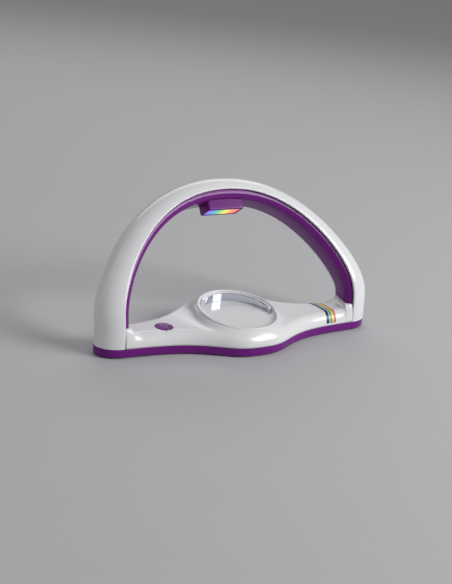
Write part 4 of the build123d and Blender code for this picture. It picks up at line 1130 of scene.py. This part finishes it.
class NIGHTLIGHT_OT_printed_bands(bpy.types.Operator):
    """Builds the thin curved print of coloured bands on the cover's right side"""

    bl_idname = "night_light.printed_bands"
    bl_label = "Printed bands"

    def execute(self, context):
        settings = context.scene.night_light
        base = settings.base
        middle = Vector((0.034, base.foot_line - 0.0035))  # of the circles that the bands follow
        inner, width = 0.0421, 0.0092
        lift, margin = 0.00005, 0.015  # height over the cover, and share left bare at each end
        slide, tilt = 0.0002, 0.004  # steps along and across that give the cover's slope
        shares = section_shares(14, 60, margin)

        def at(x, share):
            return cover_point(settings, x, share, base.top, base.edge)

        rows = []
        for band in range(25):
            radius = inner + width * band / 24
            points = []
            for share in shares:
                x = middle.x + radius
                for _ in range(6):
                    spot = at(x, share)
                    aside = spot.y - middle.y
                    x = middle.x + sqrt(max(radius**2 - aside**2, 1e-8))
                along = at(x + slide, share) - spot
                across = at(x, min(share + tilt, 1.0)) - at(x, max(share - tilt, 0.0))
                points.append(spot + along.cross(across).normalized() * lift)
            rows.append(points)
        bm = bmesh.new()
        skin(bm, rows, uv_map="bands")
        piece = make_piece(bm, "printed_bands", "lamp", print_material())
        if sum(face.normal.z for face in piece.data.polygons) < 0:
            piece.data.flip_normals()
        give_wall(piece, 0.00003)
        return {"FINISHED"}


class NIGHTLIGHT_OT_lamp_and_insides(bpy.types.Operator):
    """Gives the lamp, the fasteners and the inner pieces their finishes"""

    bl_idname = "night_light.lamp_and_insides"
    bl_label = "Lamp and insides"

    def execute(self, context):
        settings = context.scene.night_light
        dress(("lamp_lens",), lens_material(settings))
        dress(("lamp_housing",), purple_plastic(settings))
        dress(("lamp_board", "main_board"), board_material())
        dress(("battery_cells",), cell_material())
        for nodes, finish in INNER_FINISHES:
            dress(nodes, moulding(*finish))
        return {"FINISHED"}


def lamp_panel(name, place, size, power):
    """A large soft lamp that faces the middle of the object."""
    aim = Vector((0, 0, 0.05))
    light = bpy.data.lights.new(name, "AREA")
    light.shape = "RECTANGLE"
    light.size, light.size_y = size
    light.energy = power
    panel = bpy.data.objects.new(name, light)
    panel.location = place
    panel.rotation_euler = (aim - Vector(place)).to_track_quat("-Z", "Y").to_euler()
    bpy.context.scene.collection.objects.link(panel)


class NIGHTLIGHT_OT_stage(bpy.types.Operator):
    """Builds the pale floor, the soft lights and the camera"""

    bl_idname = "night_light.stage"
    bl_label = "Stage"

    def execute(self, context):
        scene = context.scene
        stage = scene.night_light.stage
        bm = bmesh.new()
        bmesh.ops.create_grid(bm, x_segments=24, y_segments=24, size=9.0)
        mesh = bpy.data.meshes.new("studio_floor")
        bm.to_mesh(mesh)
        bm.free()
        floor = bpy.data.objects.new("studio_floor", mesh)
        scene.collection.objects.link(floor)
        paper = moulding("floor_paper", stage.floor, 0.7, 0.03, 0.1, 0.1, 400.0)
        mesh.materials.append(paper)
        lamp_panel("key_light", (0.95, -0.95, 0.82), (0.85, 0.65), stage.key)
        lamp_panel("fill_light", (-1.10, 0.35, 0.80), (0.5, 1.4), stage.fill)
        lamp_panel("back_light", (0.45, 1.15, 0.95), (1.6, 0.5), stage.rim)
        world = bpy.data.worlds.new("studio_sky")
        scene.world = world
        world.use_nodes = True
        nodes, links = world.node_tree.nodes, world.node_tree.links
        sky = nodes["Background"]
        place = nodes.new("ShaderNodeTexCoord").outputs["Generated"]
        height = one_axis(nodes, links, place, "Z")
        colours = ((0.0, (0.80, 0.81, 0.83)), (0.9, (1.0, 1.0, 1.0)))
        links.new(banded(nodes, links, height, colours, "LINEAR"), sky.inputs["Color"])
        sky.inputs["Strength"].default_value = stage.sky
        view = bpy.data.cameras.new("photo_view")
        view.lens, view.sensor_width = 72.0, 36.0
        view.shift_y = -1.5 / 584
        camera = bpy.data.objects.new("photo_view", view)
        place = (-0.46483, -0.70869, 0.34560)
        turn, dip, roll = 0.575, 0.353, 0.122  # radians from +Y, below level and clockwise
        ahead = Vector((sin(turn) * cos(dip), cos(turn) * cos(dip), -sin(dip)))
        right = Vector((cos(turn), -sin(turn), 0.0))
        up = right.cross(ahead)
        side = right * cos(roll) + up * sin(roll)
        head = up * cos(roll) - right * sin(roll)
        axes = Matrix((side, head, -ahead)).transposed().to_4x4()
        camera.matrix_world = Matrix.Translation(place) @ axes
        scene.collection.objects.link(camera)
        scene.camera = camera
        scene.view_settings.view_transform = "Standard"
        return {"FINISHED"}


class NIGHTLIGHT_PT_panel(bpy.types.Panel):
    """Lists the settings and the pieces of the night light"""

    bl_idname = "NIGHTLIGHT_PT_panel"
    bl_label = "Night Light"
    bl_space_type = "VIEW_3D"
    bl_region_type = "UI"
    bl_category = "Night Light"

    def draw(self, context):
        settings = context.scene.night_light
        for group in (settings.arch, settings.base, settings.dish, settings.finish, settings.stage):
            box = self.layout.box()
            for name in group.__annotations__:
                box.prop(group, name)
        for piece in PIECES:
            self.layout.operator(piece.bl_idname)


PIECES = (
    NIGHTLIGHT_OT_stage,
    NIGHTLIGHT_OT_arch_shell,
    NIGHTLIGHT_OT_arch_liner,
    NIGHTLIGHT_OT_base_cover,
    NIGHTLIGHT_OT_dish,
    NIGHTLIGHT_OT_mirror,
    NIGHTLIGHT_OT_band,
    NIGHTLIGHT_OT_button,
    NIGHTLIGHT_OT_printed_bands,
    NIGHTLIGHT_OT_lamp_and_insides,
)
GROUPS = (
    ArchSettings,
    BaseSettings,
    DishSettings,
    FinishSettings,
    StageSettings,
    NightLightSettings,
)
CLASSES = GROUPS + PIECES + (NIGHTLIGHT_PT_panel,)


def register():
    for entry in CLASSES:
        bpy.utils.register_class(entry)
    bpy.types.Scene.night_light = PointerProperty(
        type=NightLightSettings, name="Night light", description="Settings of the night light"
    )


def unregister():
    del bpy.types.Scene.night_light
    for entry in reversed(CLASSES):
        bpy.utils.unregister_class(entry)


def main():
    register()
    for piece in PIECES:
        group, name = piece.bl_idname.split(".")
        getattr(getattr(bpy.ops, group), name)()


if __name__ == "__main__":
    main()
